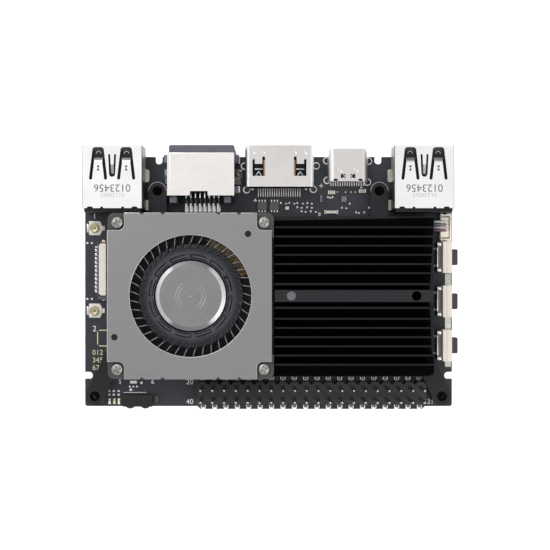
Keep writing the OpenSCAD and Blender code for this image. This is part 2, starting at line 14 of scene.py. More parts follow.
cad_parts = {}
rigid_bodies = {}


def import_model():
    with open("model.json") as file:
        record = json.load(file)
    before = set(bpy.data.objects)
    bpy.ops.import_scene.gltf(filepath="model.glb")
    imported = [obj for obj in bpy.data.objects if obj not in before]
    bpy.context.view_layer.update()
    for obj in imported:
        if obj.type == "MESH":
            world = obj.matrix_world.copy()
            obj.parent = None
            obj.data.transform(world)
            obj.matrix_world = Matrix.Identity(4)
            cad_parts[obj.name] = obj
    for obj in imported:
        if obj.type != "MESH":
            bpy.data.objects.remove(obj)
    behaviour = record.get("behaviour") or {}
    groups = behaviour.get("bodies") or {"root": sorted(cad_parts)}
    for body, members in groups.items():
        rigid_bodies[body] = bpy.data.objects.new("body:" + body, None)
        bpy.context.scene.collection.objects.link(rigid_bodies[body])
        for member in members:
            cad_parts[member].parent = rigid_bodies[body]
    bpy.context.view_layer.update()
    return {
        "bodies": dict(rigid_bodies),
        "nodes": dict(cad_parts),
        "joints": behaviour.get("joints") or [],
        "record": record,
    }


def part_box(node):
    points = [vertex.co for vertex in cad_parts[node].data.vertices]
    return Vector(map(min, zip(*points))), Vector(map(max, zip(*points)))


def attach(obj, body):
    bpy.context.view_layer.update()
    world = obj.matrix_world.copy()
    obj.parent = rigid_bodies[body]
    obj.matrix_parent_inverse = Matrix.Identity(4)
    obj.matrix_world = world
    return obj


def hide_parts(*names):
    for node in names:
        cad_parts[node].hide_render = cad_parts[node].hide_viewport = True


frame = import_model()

LOG = logging.getLogger("computer")

Object = bpy.types.Object
Material = bpy.types.Material
Socket = bpy.types.NodeSocket
Pair = tuple[float, float]
Triple = tuple[float, float, float]
FaceTest = Callable[[Vector, Vector], bool]
PlaceTest = Callable[[Vector], bool]
Source = Union[Socket, float, Sequence[float]]

MM = 0.001
SIDES = (-1, 1)
EAST = (1, 0, 0)
NORTH = (0, 1, 0)
UPWARD = (0, 0, 1)
BOARD_TOP = 1.2
HOLE_RADIUS = 1.1
UPPER_HOLE = (24.45, 20.0)
LOWER_HOLE = (38.25, -25.27)
HOLES = (UPPER_HOLE, LOWER_HOLE)
FAN_AXIS = (-16.8, -3.08)


# ---------- places taken from the frame ----------


@dataclass(frozen=True)
class Span:
    """A box in millimetres."""

    x0: float
    x1: float
    y0: float
    y1: float
    z0: float
    z1: float

    @property
    def cx(self) -> float:
        """Middle along X."""
        return (self.x0 + self.x1) / 2

    @property
    def cy(self) -> float:
        """Middle along Y."""
        return (self.y0 + self.y1) / 2


def region(node: str) -> Span:
    """The box of a CAD node.

    Args:
        node: the node's name.
    Returns:
        Its box in millimetres.
    """
    low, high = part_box(node)
    return Span(low.x / MM, high.x / MM, low.y / MM, high.y / MM, low.z / MM, high.z / MM)


def around(x: float, y: float, width: float, length: float, z0: float, z1: float) -> Span:
    """A box from its middle in plan.

    Args:
        x, y: the middle.
        width, length: size along X and along Y.
        z0, z1: the two heights.
    Returns:
        The box.
    """
    return Span(x - width / 2, x + width / 2, y - length / 2, y + length / 2, z0, z1)


# ---------- modelling by operators ----------


def activate(piece: Object) -> None:
    """Selects one object and nothing else."""
    for other in list(bpy.context.selected_objects):
        other.select_set(False)
    piece.select_set(True)
    bpy.context.view_layer.objects.active = piece


@contextmanager
def reopened(piece: Object) -> Iterator[None]:
    """Edit mode on one object, with what was picked in it still selected."""
    activate(piece)
    bpy.ops.object.mode_set(mode="EDIT")
    yield
    bpy.ops.object.mode_set(mode="OBJECT")


@contextmanager
def editing(piece: Object, mode: str = "FACE") -> Iterator[None]:
    """Edit mode on one object, with nothing selected in it."""
    with reopened(piece):
        bpy.ops.mesh.select_mode(type=mode)
        bpy.ops.mesh.select_all(action="DESELECT")
        yield


def face_outwards() -> None:
    """Turns every face of the mesh in edit mode outwards."""
    bpy.ops.mesh.select_all(action="SELECT")
    bpy.ops.mesh.normals_make_consistent(inside=False)


def settle(name: str) -> Object:
    """Names the new object and puts its place into its mesh."""
    piece = bpy.context.object
    piece.name = name
    bpy.ops.object.transform_apply(location=True, rotation=True, scale=True)
    return piece


def cuboid(name: str, middle: Triple, size: Triple, rotation: Triple = (0, 0, 0)) -> Object:
    """A cube primitive with its middle, size and turn."""
    bpy.ops.mesh.primitive_cube_add(size=1, location=Vector(middle) * MM, rotation=rotation)
    bpy.context.object.scale = Vector(size) * MM
    return settle(name)


def box(name: str, span: Span) -> Object:
    """A cube primitive that fills a box."""
    size = (span.x1 - span.x0, span.y1 - span.y0, span.z1 - span.z0)
    return cuboid(name, (span.cx, span.cy, (span.z0 + span.z1) / 2), size)


def drum(name: str, x: float, y: float, z0: float, z1: float, radius: float, sides: int = 48) -> Object:
    """A cylinder primitive standing between two heights.

    Args:
        name: the object's name.
        x, y: the axis in plan.
        z0, z1: the two heights.
        radius: its radius.
        sides: corners of the circle.
    Returns:
        The cylinder.
    """
    bpy.ops.mesh.primitive_cylinder_add(
        vertices=sides, radius=radius * MM, depth=(z1 - z0) * MM, location=Vector((x, y, (z0 + z1) / 2)) * MM
    )
    return settle(name)


def bar(name: str, start: Pair, end: Pair, width: float, z0: float, z1: float) -> Object:
    """A box that runs between two points in plan.

    Args:
        name: the object's name.
        start, end: middles of its two ends.
        width: its width.
        z0, z1: its heights.
    Returns:
        The box.
    """
    dx, dy = end[0] - start[0], end[1] - start[1]
    middle = ((start[0] + end[0]) / 2, (start[1] + end[1]) / 2, (z0 + z1) / 2)
    return cuboid(name, middle, (math.hypot(dx, dy), width, z1 - z0), (0, 0, math.atan2(dy, dx)))


def turned(name: str, place: Pair, profile: Sequence[Pair], sides: int = 96) -> Object:
    """A lathe part: a disc whose face is extruded and scaled ring by ring.

    Args:
        name: the object's name.
        place: the axis in plan.
        profile: (radius, height) of each ring, from the first face to the last.
        sides: corners of each ring.
    Returns:
        The closed solid.
    """
    x, y = place[0] * MM, place[1] * MM
    radius, height = profile[0]
    bpy.ops.mesh.primitive_circle_add(
        vertices=sides, radius=radius * MM, fill_type="NGON", location=(x, y, height * MM)
    )
    piece = settle(name)
    with editing(piece):
        bpy.ops.mesh.select_all(action="SELECT")
        for ring_radius, ring_height in profile[1:]:
            rise = (ring_height - height) * MM
            bpy.ops.mesh.extrude_region_move(TRANSFORM_OT_translate={"value": (0, 0, rise)})
            share = ring_radius / radius
            bpy.ops.transform.resize(value=(share, share, 1), center_override=(x, y, ring_height * MM))
            radius, height = ring_radius, ring_height
        face_outwards()
    return piece


def extrude_along(piece: Object, ahead: Vector, steps: Sequence[Triple]) -> Object:
    """Extrudes the end face of a bar step by step.

    Args:
        piece: the bar.
        ahead: where the end face looks.
        steps: the way from each bend to the next.
    Returns:
        The same object.
    """
    pick_faces(piece, lambda centre, normal: normal.dot(ahead) > 0.9)
    with reopened(piece):
        for step in steps:
            bpy.ops.mesh.extrude_region_move(TRANSFORM_OT_translate={"value": Vector(step) * MM})
        face_outwards()
    return piece


def strip(name: str, side: float, width: float, path: Sequence[Pair], thickness: float) -> Object:
    """A bent metal strip in the YZ plane: a thin box whose end face is extruded along a path.

    Args:
        name: the object's name.
        side: middle of the strip along X.
        width: width along X.
        path: (y, z) of the strip's middle at each bend.
        thickness: metal thickness.
    Returns:
        The strip.
    """
    first, second = path[0], path[1]
    turn = math.atan2(second[1] - first[1], second[0] - first[0])
    length = math.hypot(second[0] - first[0], second[1] - first[1])
    middle = (side, (first[0] + second[0]) / 2, (first[1] + second[1]) / 2)
    piece = cuboid(name, middle, (width, length, thickness), (turn, 0, 0))
    steps = [(0, after[0] - before[0], after[1] - before[1]) for before, after in zip(path[1:], path[2:])]
    return extrude_along(piece, Vector((0, math.cos(turn), math.sin(turn))), steps)


def pick_faces(piece: Object, test: FaceTest) -> None:
    """Selects the faces that pass a test of their centre, in millimetres, and their normal."""
    with editing(piece):
        pass
    for face in piece.data.polygons:
        face.select = bool(test(face.center / MM, face.normal))


def pick_edges(piece: Object, test: FaceTest) -> int:
    """Selects the edges that pass a test of their middle, in millimetres, and their direction.

    Args:
        piece: the mesh.
        test: takes an edge's middle and direction.
    Returns:
        How many edges are selected.
    """
    with editing(piece, "EDGE"):
        pass
    found = 0
    for edge in piece.data.edges:
        a, b = (piece.data.vertices[i].co for i in edge.vertices)
        edge.select = bool(test((a + b) / 2 / MM, (b - a).normalized()))
        found += edge.select
    return found


def bevel_picked(piece: Object, width: float, segments: int) -> None:
    """Bevels the picked edges."""
    with reopened(piece):
        bpy.ops.mesh.bevel(offset=width * MM, segments=segments, affect="EDGES")


def round_edges(
    piece: Object,
    along: Triple,
    radius: float,
    segments: int = 4,
    where: PlaceTest = lambda middle: True,
) -> Object:
    """Bevels the edges that run along one direction.

    Args:
        piece: the mesh.
        along: the direction.
        radius: bevel width.
        segments: steps of the bevel.
        where: takes an edge's middle and says whether it is beveled.
    Returns:
        The same object.
    """
    direction = Vector(along)
    count = pick_edges(piece, lambda middle, run: abs(run.dot(direction)) > 0.999 and where(middle))
    if count:
        bevel_picked(piece, radius, segments)
    return piece


def apply_last(piece: Object) -> None:
    """Applies the object's only modifier."""
    activate(piece)
    bpy.ops.object.modifier_apply(modifier=piece.modifiers[-1].name)


def combine(piece: Object, others: Sequence[Object], operation: str) -> Object:
    """Runs a boolean with several solids, one by one, and removes them.

    Args:
        piece: the mesh that stays.
        others: the solids.
        operation: the boolean's kind.
    Returns:
        The same object.
    """
    for other in others:
        modifier = piece.modifiers.new("shape", "BOOLEAN")
        modifier.operation = operation
        modifier.solver = "EXACT"
        modifier.object = other
        apply_last(piece)
        bpy.data.objects.remove(other)
    return piece


def carve(piece: Object, *cutters: Object) -> Object:
    """Cuts solids out of a piece."""
    return combine(piece, cutters, "DIFFERENCE")


def fuse(piece: Object, *others: Object) -> Object:
    """Joins solids into one skin."""
    return combine(piece, others, "UNION")


def soften(piece: Object, width: float, segments: int = 2, angle: float = 35) -> Object:
    """Bevels every sharp edge and shades smooth.

    Args:
        piece: the mesh.
        width: bevel width.
        segments: steps of the bevel.
        angle: the smallest turn, in degrees, that counts as sharp.
    Returns:
        The same object.
    """
    modifier = piece.modifiers.new("edges", "BEVEL")
    modifier.width = width * MM
    modifier.segments = segments
    modifier.limit_method = "ANGLE"
    modifier.angle_limit = math.radians(angle)
    modifier.use_clamp_overlap = True
    apply_last(piece)
    smooth(piece)
    weighted = piece.modifiers.new("normals", "WEIGHTED_NORMAL")
    weighted.weight = 100
    weighted.keep_sharp = True
    apply_last(piece)
    return piece


def smooth(piece: Object, angle: float = 40) -> Object:
    """Shades smooth except across sharp edges."""
    activate(piece)
    bpy.ops.object.shade_smooth_by_angle(angle=math.radians(angle))
    return piece


def copied(piece: Object, matrix: Matrix) -> Object:
    """A copy with its own mesh, moved by a matrix."""
    twin = piece.copy()
    twin.data = piece.data.copy()
    twin.data.transform(matrix)
    bpy.context.scene.collection.objects.link(twin)
    return twin


def shift(x: float = 0, y: float = 0, z: float = 0) -> Matrix:
    """A move in millimetres."""
    return Matrix.Translation(Vector((x, y, z)) * MM)


def join(name: str, pieces: Sequence[Object]) -> Object:
    """Makes one object of several."""
    activate(pieces[0])
    for piece in pieces:
        piece.select_set(True)
    if len(pieces) > 1:
        bpy.ops.object.join()
    pieces[0].name = name
    return pieces[0]


def row(piece: Object, count: int, step: Pair) -> Object:
    """Repeats a piece along a line and joins the copies.

    Args:
        piece: the first one.
        count: how many there are in all.
        step: the way from one to the next in plan.
    Returns:
        The joined object.
    """
    copies = [copied(piece, shift(step[0] * i, step[1] * i)) for i in range(1, count)]
    return join(piece.name, [piece, *copies])


def ring(piece: Object, axis: Pair, count: int) -> Object:
    """Repeats a piece around an upright axis and joins the copies.

    Args:
        piece: the first one.
        axis: the axis in plan.
        count: how many there are in all.
    Returns:
        The joined object.
    """
    there, back = shift(*axis), shift(-axis[0], -axis[1])
    turns = [Matrix.Rotation(math.tau * i / count, 4, "Z") for i in range(1, count)]
    return join(piece.name, [piece, *(copied(piece, there @ turn @ back) for turn in turns)])


def group(name: str, pieces: Sequence[Object], width: float = 0.03, segments: int = 1) -> Object:
    """Several solids as one piece with soft edges, beveled by a width in some steps."""
    return soften(join(name, pieces), width, segments)


def blocks(name: str, spans: Sequence[Span], width: float = 0.03) -> Object:
    """Several small beveled boxes as one piece."""
    return group(name, [box(name, span) for span in spans], width)


# ---------- finishes ----------


def srgb(red: int, green: int, blue: int) -> Triple:
    """A screen colour as linear light."""
    shares = (red / 255, green / 255, blue / 255)
    return tuple(s / 12.92 if s <= 0.04045 else ((s + 0.055) / 1.055) ** 2.4 for s in shares)


class Graph:
    """The nodes of one material or world, with short calls that add and link them."""

    def __init__(self, tree: bpy.types.NodeTree, surface: str = "Principled BSDF") -> None:
        """Remembers the tree and its surface shader."""
        self.tree = tree
        self.shader = tree.nodes[surface]

    def feed(self, socket: Socket, value: Source) -> None:
        """Links an input to an output, or sets it to a plain value."""
        if isinstance(value, Socket):
            self.tree.links.new(value, socket)
        else:
            socket.default_value = value

    def add(self, kind: str, inputs: Mapping[Union[int, str], Source], **settings: Any) -> bpy.types.Node:
        """Adds a node.

        Args:
            kind: the node's type, without the word ShaderNode.
            inputs: what each input gets, by name or number.
            settings: the node's own properties.
        Returns:
            The node.
        """
        node = self.tree.nodes.new(f"ShaderNode{kind}")
        for name, value in settings.items():
            setattr(node, name, value)
        for key, value in inputs.items():
            self.feed(node.inputs[key], value)
        return node

    def surface(self, inputs: Mapping[str, Source]) -> None:
        """Feeds inputs of the surface shader."""
        for key, value in inputs.items():
            self.feed(self.shader.inputs[key], value)

    def calc(self, operation: str, *values: Source) -> Socket:
        """The result of a math node."""
        return self.add("Math", dict(enumerate(values)), operation=operation).outputs[0]

    def ranged(self, value: Source, start: float, end: float, low: float = 0.0, high: float = 1.0) -> Socket:
        """The value mapped from one range to another, and held at its ends."""
        inputs = {"Value": value, "From Min": start, "From Max": end, "To Min": low, "To Max": high}
        return self.add("MapRange", inputs).outputs[0]

    def fade(self, value: Source, stops: Sequence[tuple[float, Triple]]) -> Socket:
        """A colour that runs from one stop to the other as the value rises."""
        node = self.add("ValToRGB", {0: value})
        for end, (position, colour) in zip(node.color_ramp.elements, stops):
            end.position = position
            end.color = (*colour, 1)
        return node.outputs[0]

    def mapped(self, **inputs: Source) -> Socket:
        """Object coordinates, moved, turned or scaled."""
        place_node = self.add("TexCoord", {})
        return self.add("Mapping", {"Vector": place_node.outputs["Object"], **inputs}).outputs[0]

    def relief(self, height: Socket, strength: float, distance: float) -> None:
        """Adds a bump of a depth in millimetres on top of the bumps that are there."""
        node = self.add("Bump", {"Strength": strength, "Distance": distance * MM, "Height": height})
        normal = self.shader.inputs["Normal"]
        if normal.links:
            self.feed(node.inputs["Normal"], normal.links[0].from_socket)
        self.feed(normal, node.outputs[0])


class Grain(Enum):
    """How a surface's texture runs."""

    EVEN = (1.0, 1.0, 1.0)
    ALONG_X = (0.04, 1.0, 1.0)


@dataclass(frozen=True)
class Finish:
    """A procedural surface: drifting colour, uneven roughness and a fine relief.

    Attributes:
        name: the material's name.
        colour: base colour in linear light.
        roughness: mean roughness.
        metallic: 1 for bare metal.
        drift: share by which the colour wanders.
        grain: size of the finest texture in millimetres.
        relief: strength of the bump.
        run: how the texture is stretched.
        edge_light: how far slanted faces go towards edge_light_colour, as painted light.
        edge_light_colour: colour painted on slanted edges, lighter for a painted highlight and darker for
            painted shade.
        coat: clear coat weight.
        gloss: strength of the plain reflection, 0.5 for common plastic.
        edge_light_sides: whether only faces that slant towards X get the painted light.
    """

    name: str
    colour: Triple
    roughness: float
    metallic: float = 0.0
    drift: float = 0.12
    grain: float = 0.2
    relief: float = 0.12
    run: Grain = Grain.EVEN
    edge_light: float = 0.0
    edge_light_colour: Triple = (0.9, 0.9, 0.9)
    coat: float = 0.0
    gloss: float = 0.5
    edge_light_sides: bool = False

    @property
    def label(self) -> str:
        """The material's own name, which no material of the CAD model has."""
        return f"{self.name}_finish"

    def material(self) -> Material:
        """Makes the material once.

        Returns:
            The material, from memory if it exists.
        """
        found = bpy.data.materials.get(self.label)
        if found:
            return found
        made = bpy.data.materials.new(self.label)
        made.use_nodes = True
        self.shade(Graph(made.node_tree))
        return made

    def shade(self, graph: Graph) -> None:
        """Builds the surface's nodes."""
        fine = self.noise(graph, self.grain, 4)
        broad = self.noise(graph, self.grain * 14, 2)
        graph.surface({
            "Base Color": self.with_edge_light(graph, self.drifting(graph, fine, broad)),
            "Roughness": self.uneven(graph, fine, broad),
            "Metallic": self.metallic,
            "Coat Weight": self.coat,
            "Coat Roughness": 0.08,
            "Specular IOR Level": self.gloss,
        })
        graph.relief(fine, self.relief, self.grain * 0.3)

    def noise(self, graph: Graph, size: float, detail: float) -> Socket:
        """A noise of a given size on object coordinates."""
        scale = [stretch / (size * MM) for stretch in self.run.value]
        inputs = {"Vector": graph.mapped(Scale=scale), "Scale": 1.0, "Detail": detail}
        return graph.add("TexNoise", inputs).outputs[0]

    def drifting(self, graph: Graph, fine: Socket, broad: Socket) -> Socket:
        """The base colour, which drifts between a darker and a lighter shade."""
        mean = graph.calc("MULTIPLY", graph.calc("ADD", fine, broad), 0.5)
        dark = tuple(share * (1 - self.drift) for share in self.colour)
        light = tuple(min(1.0, share * (1 + self.drift)) for share in self.colour)
        return graph.fade(mean, ((0.3, dark), (0.7, light)))

    def with_edge_light(self, graph: Graph, colour: Socket) -> Socket:
        """The colour, changed towards edge_light_colour where a face leans a little: a painted highlight on
        edges where edge_light_colour is lighter, painted shade where it is darker.
        """
        if not self.edge_light:
            return colour
        normal = graph.add("SeparateXYZ", {0: graph.add("NewGeometry", {}).outputs["Normal"]})
        upright = graph.calc("ABSOLUTE", normal.outputs["Z"])
        slant = graph.ranged(upright, 0.985, 0.8, high=self.edge_light)
        share = graph.calc("MULTIPLY", slant, graph.ranged(upright, 0.1, 0.25))
        if self.edge_light_sides:
            across = graph.calc("ABSOLUTE", normal.outputs["X"])
            share = graph.calc("MULTIPLY", share, graph.ranged(across, 0.26, 0.34))
        inputs = {0: share, 6: colour, 7: (*self.edge_light_colour, 1)}
        return graph.add("Mix", inputs, data_type="RGBA").outputs[2]

    def uneven(self, graph: Graph, fine: Socket, broad: Socket) -> Socket:
        """The roughness, smoother and rougher in patches."""
        blend = graph.calc("MULTIPLY_ADD", fine, 0.5, broad)
        return graph.ranged(blend, 0.45, 1.05, self.roughness * 0.78, min(1.0, self.roughness * 1.25))


@dataclass(frozen=True)
class SolderMask(Finish):
    """The board's black mask, with the faint relief of the conductors under it.

    Attributes:
        track: distance between conductors.
        track_relief: strength of their relief.
    """

    track: float = 0.9
    track_relief: float = 0.35

    def shade(self, graph: Graph) -> None:
        """Adds the conductors' relief to the plain finish."""
        super().shade(graph)
        turned_grid = graph.mapped(Rotation=(0, 0, math.radians(45)), Scale=(1 / (self.track * MM),) * 3)
        inputs = {"Vector": turned_grid, "Scale": 1.0}
        cells = graph.add("TexVoronoi", inputs, feature="F1", distance="CHEBYCHEV")
        tracks = graph.ranged(cells.outputs["Distance"], 0.36, 0.42)
        graph.relief(tracks, self.track_relief, 0.03)


@dataclass(frozen=True)
class TurnedMetal(Finish):
    """Metal faced on a lathe: fine rings round an upright axis.

    Attributes:
        axis: the axis in plan.
        ring_size: distance between the finest rings.
        ring_depth: strength of the rings' relief.
    """

    axis: Pair = (0.0, 0.0)
    ring_size: float = 0.16
    ring_depth: float = 0.25

    def shade(self, graph: Graph) -> None:
        """Adds the rings' relief and tone to the plain finish."""
        super().shade(graph)
        flat = graph.mapped(Location=(-self.axis[0] * MM, -self.axis[1] * MM, 0), Scale=(1, 1, 0))
        reach = graph.add("VectorMath", {0: flat}, operation="LENGTH").outputs["Value"]
        inputs = {"W": reach, "Scale": 1 / (self.ring_size * MM), "Detail": 3}
        rings = graph.add("TexNoise", inputs, noise_dimensions="1D").outputs[0]
        graph.relief(rings, self.ring_depth, 0.01)
        base = graph.shader.inputs["Base Color"].links[0].from_socket
        tone = {0: base, "Scale": graph.ranged(rings, 0.3, 0.7, 0.94, 1.06)}
        graph.surface({"Base Color": graph.add("VectorMath", tone, operation="SCALE").outputs[0]})


MASK = SolderMask("solder_mask", srgb(48, 50, 55), 0.42, drift=0.22, grain=0.12, relief=0.1, gloss=0.28)
LAMINATE = Finish("laminate_edge", srgb(60, 62, 58), 0.7, drift=0.2, grain=0.1)
SILK = Finish("white_ink", srgb(226, 226, 230), 0.6, drift=0.08, grain=0.08, relief=0.2)
# Painted light on rounded edges: painted shade on the port steel, a painted highlight on the network and
# video steel.
BRIGHT_STEEL = Finish(
    "port_steel", srgb(247, 246, 244), 0.22, 1.0, 0.02, 0.35, 0.03, edge_light=1.0, edge_light_colour=srgb(132, 130, 126)
)
NET_STEEL = Finish(
    "network_steel", srgb(230, 226, 223), 0.3, 1.0, 0.015, 1.1, 0.015, edge_light=1.0, edge_light_colour=srgb(255, 255, 255)
)
VIDEO_STEEL = Finish(
    "video_steel", srgb(213, 209, 207), 0.3, 1.0, 0.01, 1.1, 0.01, edge_light=1.0, edge_light_colour=srgb(255, 255, 255)
)
LUG_STEEL = Finish("lug_steel", srgb(196, 192, 184), 0.34, 1.0, 0.2, 0.12, 0.35)
SOLDER = Finish("solder", srgb(205, 206, 206), 0.28, 1.0, 0.2, 0.15, 0.5)
GOLD = Finish("contact_gold", srgb(214, 202, 166), 0.25, 1.0, 0.15, 0.1, 0.15)
BLACK = Finish("black_plastic", srgb(20, 20, 21), 0.5, drift=0.2, grain=0.1, relief=0.25, gloss=0.25)
HEADER_BLACK = Finish("header_plastic", srgb(46, 46, 48), 0.5, drift=0.3, grain=0.12, relief=0.35, gloss=0.3)
GREY = Finish("grey_plastic", srgb(112, 112, 124), 0.55, drift=0.12, grain=0.12, relief=0.25)
LATCH = Finish("latch_plastic", srgb(232, 226, 213), 0.5, drift=0.05, grain=0.15, relief=0.2)
CREAM = Finish("cream_plastic", srgb(215, 208, 196), 0.5, drift=0.05, grain=0.15, relief=0.2)
WHITE_PLASTIC = Finish("pale_plastic", srgb(228, 222, 206), 0.45, drift=0.06, grain=0.12, relief=0.2)
BUTTON = Finish("button_plastic", srgb(40, 39, 43), 0.5, drift=0.12, grain=0.1, relief=0.25)
CHIP = Finish("chip_resin", srgb(30, 30, 32), 0.5, drift=0.2, grain=0.08, relief=0.3, gloss=0.3)
OLIVE_CHIP = Finish("olive_chip", srgb(84, 84, 78), 0.55, drift=0.15, grain=0.08, relief=0.3)
CERAMIC = Finish("ceramic", srgb(176, 166, 146), 0.5, drift=0.15, grain=0.08, relief=0.2)
# Near-black painted shade for the gaps between the fins, the walls of the mounting holes and the hub's
# grooves.
PAINTED_SHADE_BLACK = Finish("painted_shade_black", srgb(3, 3, 4), 0.7, drift=0.2, grain=0.1, relief=0.2, gloss=0.04)
# Painted glint on the heatsink arms' rounded ends.
ARM_GLINT = Finish("arm_edge_glint", srgb(150, 150, 156), 0.4, 0.6, 0.2, 0.1, 0.2)
RIB_TOP = Finish("rib_top_black", srgb(27, 26, 31), 0.5, 0, 0.2, 0.06, 0.25, Grain.ALONG_X, gloss=0.25)
FIN_TOP = Finish("fin_top_black", srgb(24, 24, 28), 0.5, 0, 0.2, 0.06, 0.25, Grain.ALONG_X, gloss=0.12)
# The anodised heatsink's slanted edges get a painted highlight.
ANODISED = Finish(
    "black_anodised", srgb(24, 24, 28), 0.5, 0, 0.2, 0.07, 0.3, Grain.ALONG_X, edge_light=0.7,
    edge_light_colour=srgb(120, 120, 126), gloss=0.25,
)
FAN_PLASTIC = Finish("fan_plastic", srgb(64, 64, 68), 0.5, drift=0.2, grain=0.12, relief=0.25, gloss=0.3)
# The cover's bevels get a painted highlight.
COVER = Finish(
    "brushed_cover", srgb(135, 135, 136), 0.5, 1.0, 0.02, 0.03, 0.12, Grain.ALONG_X, edge_light=1.0,
    edge_light_colour=srgb(252, 252, 252),
)
# The rotor's bevel gets a painted highlight on the faces that slant towards X only.
ROTOR = TurnedMetal(
    "turned_rotor", srgb(131, 131, 132), 0.45, 1.0, 0.015, 0.3, 0.0, edge_light=1.0, edge_light_colour=srgb(226, 226, 226),
    edge_light_sides=True, axis=FAN_AXIS, ring_depth=0.12,
)
SCREW = Finish("screw_steel", srgb(154, 152, 146), 0.42, 1.0, 0.55, 0.16, 0.5)
PIN_STEEL = Finish("plain_steel", srgb(108, 107, 114), 0.5, 1.0, 0.1, 0.1, 0.2)
BLADE = Finish("blade_plastic", srgb(20, 20, 23), 0.4, drift=0.15, grain=0.1, relief=0.15, gloss=0.25)
# Painted highlight on the blades' top edges.
BLADE_GLINT = Finish("blade_top_glint", srgb(122, 122, 126), 0.35, drift=0.1, grain=0.1, relief=0.1)
# The hub's slopes get painted shade.
HUB = Finish(
    "hub_plastic", srgb(58, 59, 64), 0.45, drift=0.4, grain=0.12, relief=0.5, gloss=0.25, edge_light=0.6,
    edge_light_colour=srgb(26, 26, 30),
)
# The blade roots' slopes get darker painted shade.
ROOT = Finish(
    "blade_root", srgb(33, 34, 38), 0.4, drift=0.4, grain=0.12, relief=0.3, gloss=0.2, edge_light=0.8,
    edge_light_colour=srgb(8, 8, 10),
)
AMBER = Finish("amber_film", srgb(126, 91, 40), 0.4, drift=0.35, grain=0.25, relief=0.2, coat=0.3)
TRACE = Finish("amber_trace", srgb(232, 194, 112), 0.35, 0.0, 0.2, 0.1, 0.1)
COPPER = Finish("copper", srgb(184, 112, 70), 0.3, 1.0, 0.2, 0.12, 0.3)
PAD = Finish("thermal_pad", srgb(140, 152, 160), 0.8, drift=0.1, grain=0.2, relief=0.3)
LENS = Finish("lens", srgb(226, 228, 214), 0.15, drift=0.06, grain=0.1, relief=0.05, coat=0.6)
WARM_LENS = Finish("warm_lens", srgb(214, 210, 150), 0.15, drift=0.06, grain=0.1, relief=0.05, coat=0.6)
RECEIVER = Finish("receiver", srgb(20, 20, 22), 0.25, drift=0.2, grain=0.15, relief=0.1, coat=0.15, gloss=0.3)
SHADED_STEEL = Finish("shaded_steel", srgb(62, 62, 70), 0.5, 0.4, 0.15, 0.1, 0.2, gloss=0.2)
# The dull steel's slanted edges get a painted highlight.
DULL_STEEL = Finish(
    "dull_steel", srgb(106, 106, 104), 0.4, 1.0, 0.25, 0.12, 0.4, edge_light=0.8, edge_light_colour=srgb(240, 240, 236)
)
PALE_RING = Finish("pale_ring", srgb(186, 176, 150), 0.3, 1.0, 0.15, 0.1, 0.2)
TAIL = Finish("tail_tin", srgb(216, 214, 212), 0.28, 1.0, 0.15, 0.12, 0.3)
STAMP = Finish("stamped_steel", srgb(100, 99, 98), 0.5, 0.6, 0.1, 0.1, 0.1)
FAINT_STAMP = Finish("faint_stamp", srgb(186, 185, 183), 0.4, 0.8, 0.1, 0.1, 0.1)
# Painted shade for the port shells' side and back walls, darker than the same steel on top.
PORT_WALL_SHADE = Finish("port_wall_shade", srgb(140, 137, 130), 0.35, 1.0, 0.3, 0.2, 0.3)
CURL = Finish("curl_steel", srgb(166, 166, 168), 0.35, 1.0, 0.25, 0.1, 0.3)
PLATE = Finish("tinned_plate", srgb(196, 193, 186), 0.32, 1.0, 0.3, 0.2, 0.5)
HEADER_PIN = Finish("header_pin", srgb(128, 126, 120), 0.3, 1.0, 0.15, 0.1, 0.15)
TAN = Finish("tan_strip", srgb(176, 150, 110), 0.4, 0.6, 0.15, 0.1, 0.1)
RED_PART = Finish("reddish_part", srgb(74, 56, 56), 0.5, drift=0.2, grain=0.1, relief=0.2)
PALE_CHIP = Finish("pale_chip", srgb(104, 106, 112), 0.5, drift=0.15, grain=0.08, relief=0.25)
PORT_GREY = Finish("port_grey", srgb(84, 85, 94), 0.5, drift=0.14, grain=0.1, relief=0.25, gloss=0.3)
WIRES = tuple(
    Finish(f"wire_{name}", colour, 0.5, drift=drift, grain=0.1, relief=0.15)
    for name, colour, drift in (
        ("purple", srgb(112, 78, 98), 0.15),
        ("lilac", srgb(176, 158, 168), 0.12),
        ("dark", srgb(108, 114, 114), 0.15),
        ("grey", srgb(192, 198, 198), 0.1),
    )
)


def surface(piece: Object, finish: Finish) -> None:
    """Gives a piece one surface and no other."""
    piece.data.materials.clear()
    piece.data.materials.append(finish.material())


def place(
    piece: Object,
    finish: Finish,
    body: str = "board_assembly",
    slot: str = "",
    nodes: Sequence[str] = (),
) -> Object:
    """Gives a finished piece its surface and body, and hides the CAD nodes it stands for.

    Args:
        piece: the finished mesh.
        finish: its surface.
        body: the CAD body that it rides on.
        slot: not used.
        nodes: CAD nodes that it replaces.
    Returns:
        The same object.
    """
    surface(piece, finish)
    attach(piece, body)
    if nodes:
        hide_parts(*nodes)
    LOG.info("placed %s on %s", piece.name, body)
    return piece


def dress(node: str, finish: Finish, width: float = 0.05) -> None:
    """Keeps a CAD node and gives it soft edges and a surface.

    Args:
        node: the CAD node.
        finish: its surface.
        width: bevel width, or 0 for none.
    """
    piece = frame["nodes"][node]
    surface(piece, finish)
    if width:
        weld = piece.modifiers.new("weld", "WELD")
        weld.merge_threshold = 1e-6
        bevel = piece.modifiers.new("bevel", "BEVEL")
        bevel.width = width * MM
        bevel.segments = 2
        bevel.limit_method = "ANGLE"
        bevel.angle_limit = math.radians(40)
    LOG.info("dressed %s", node)


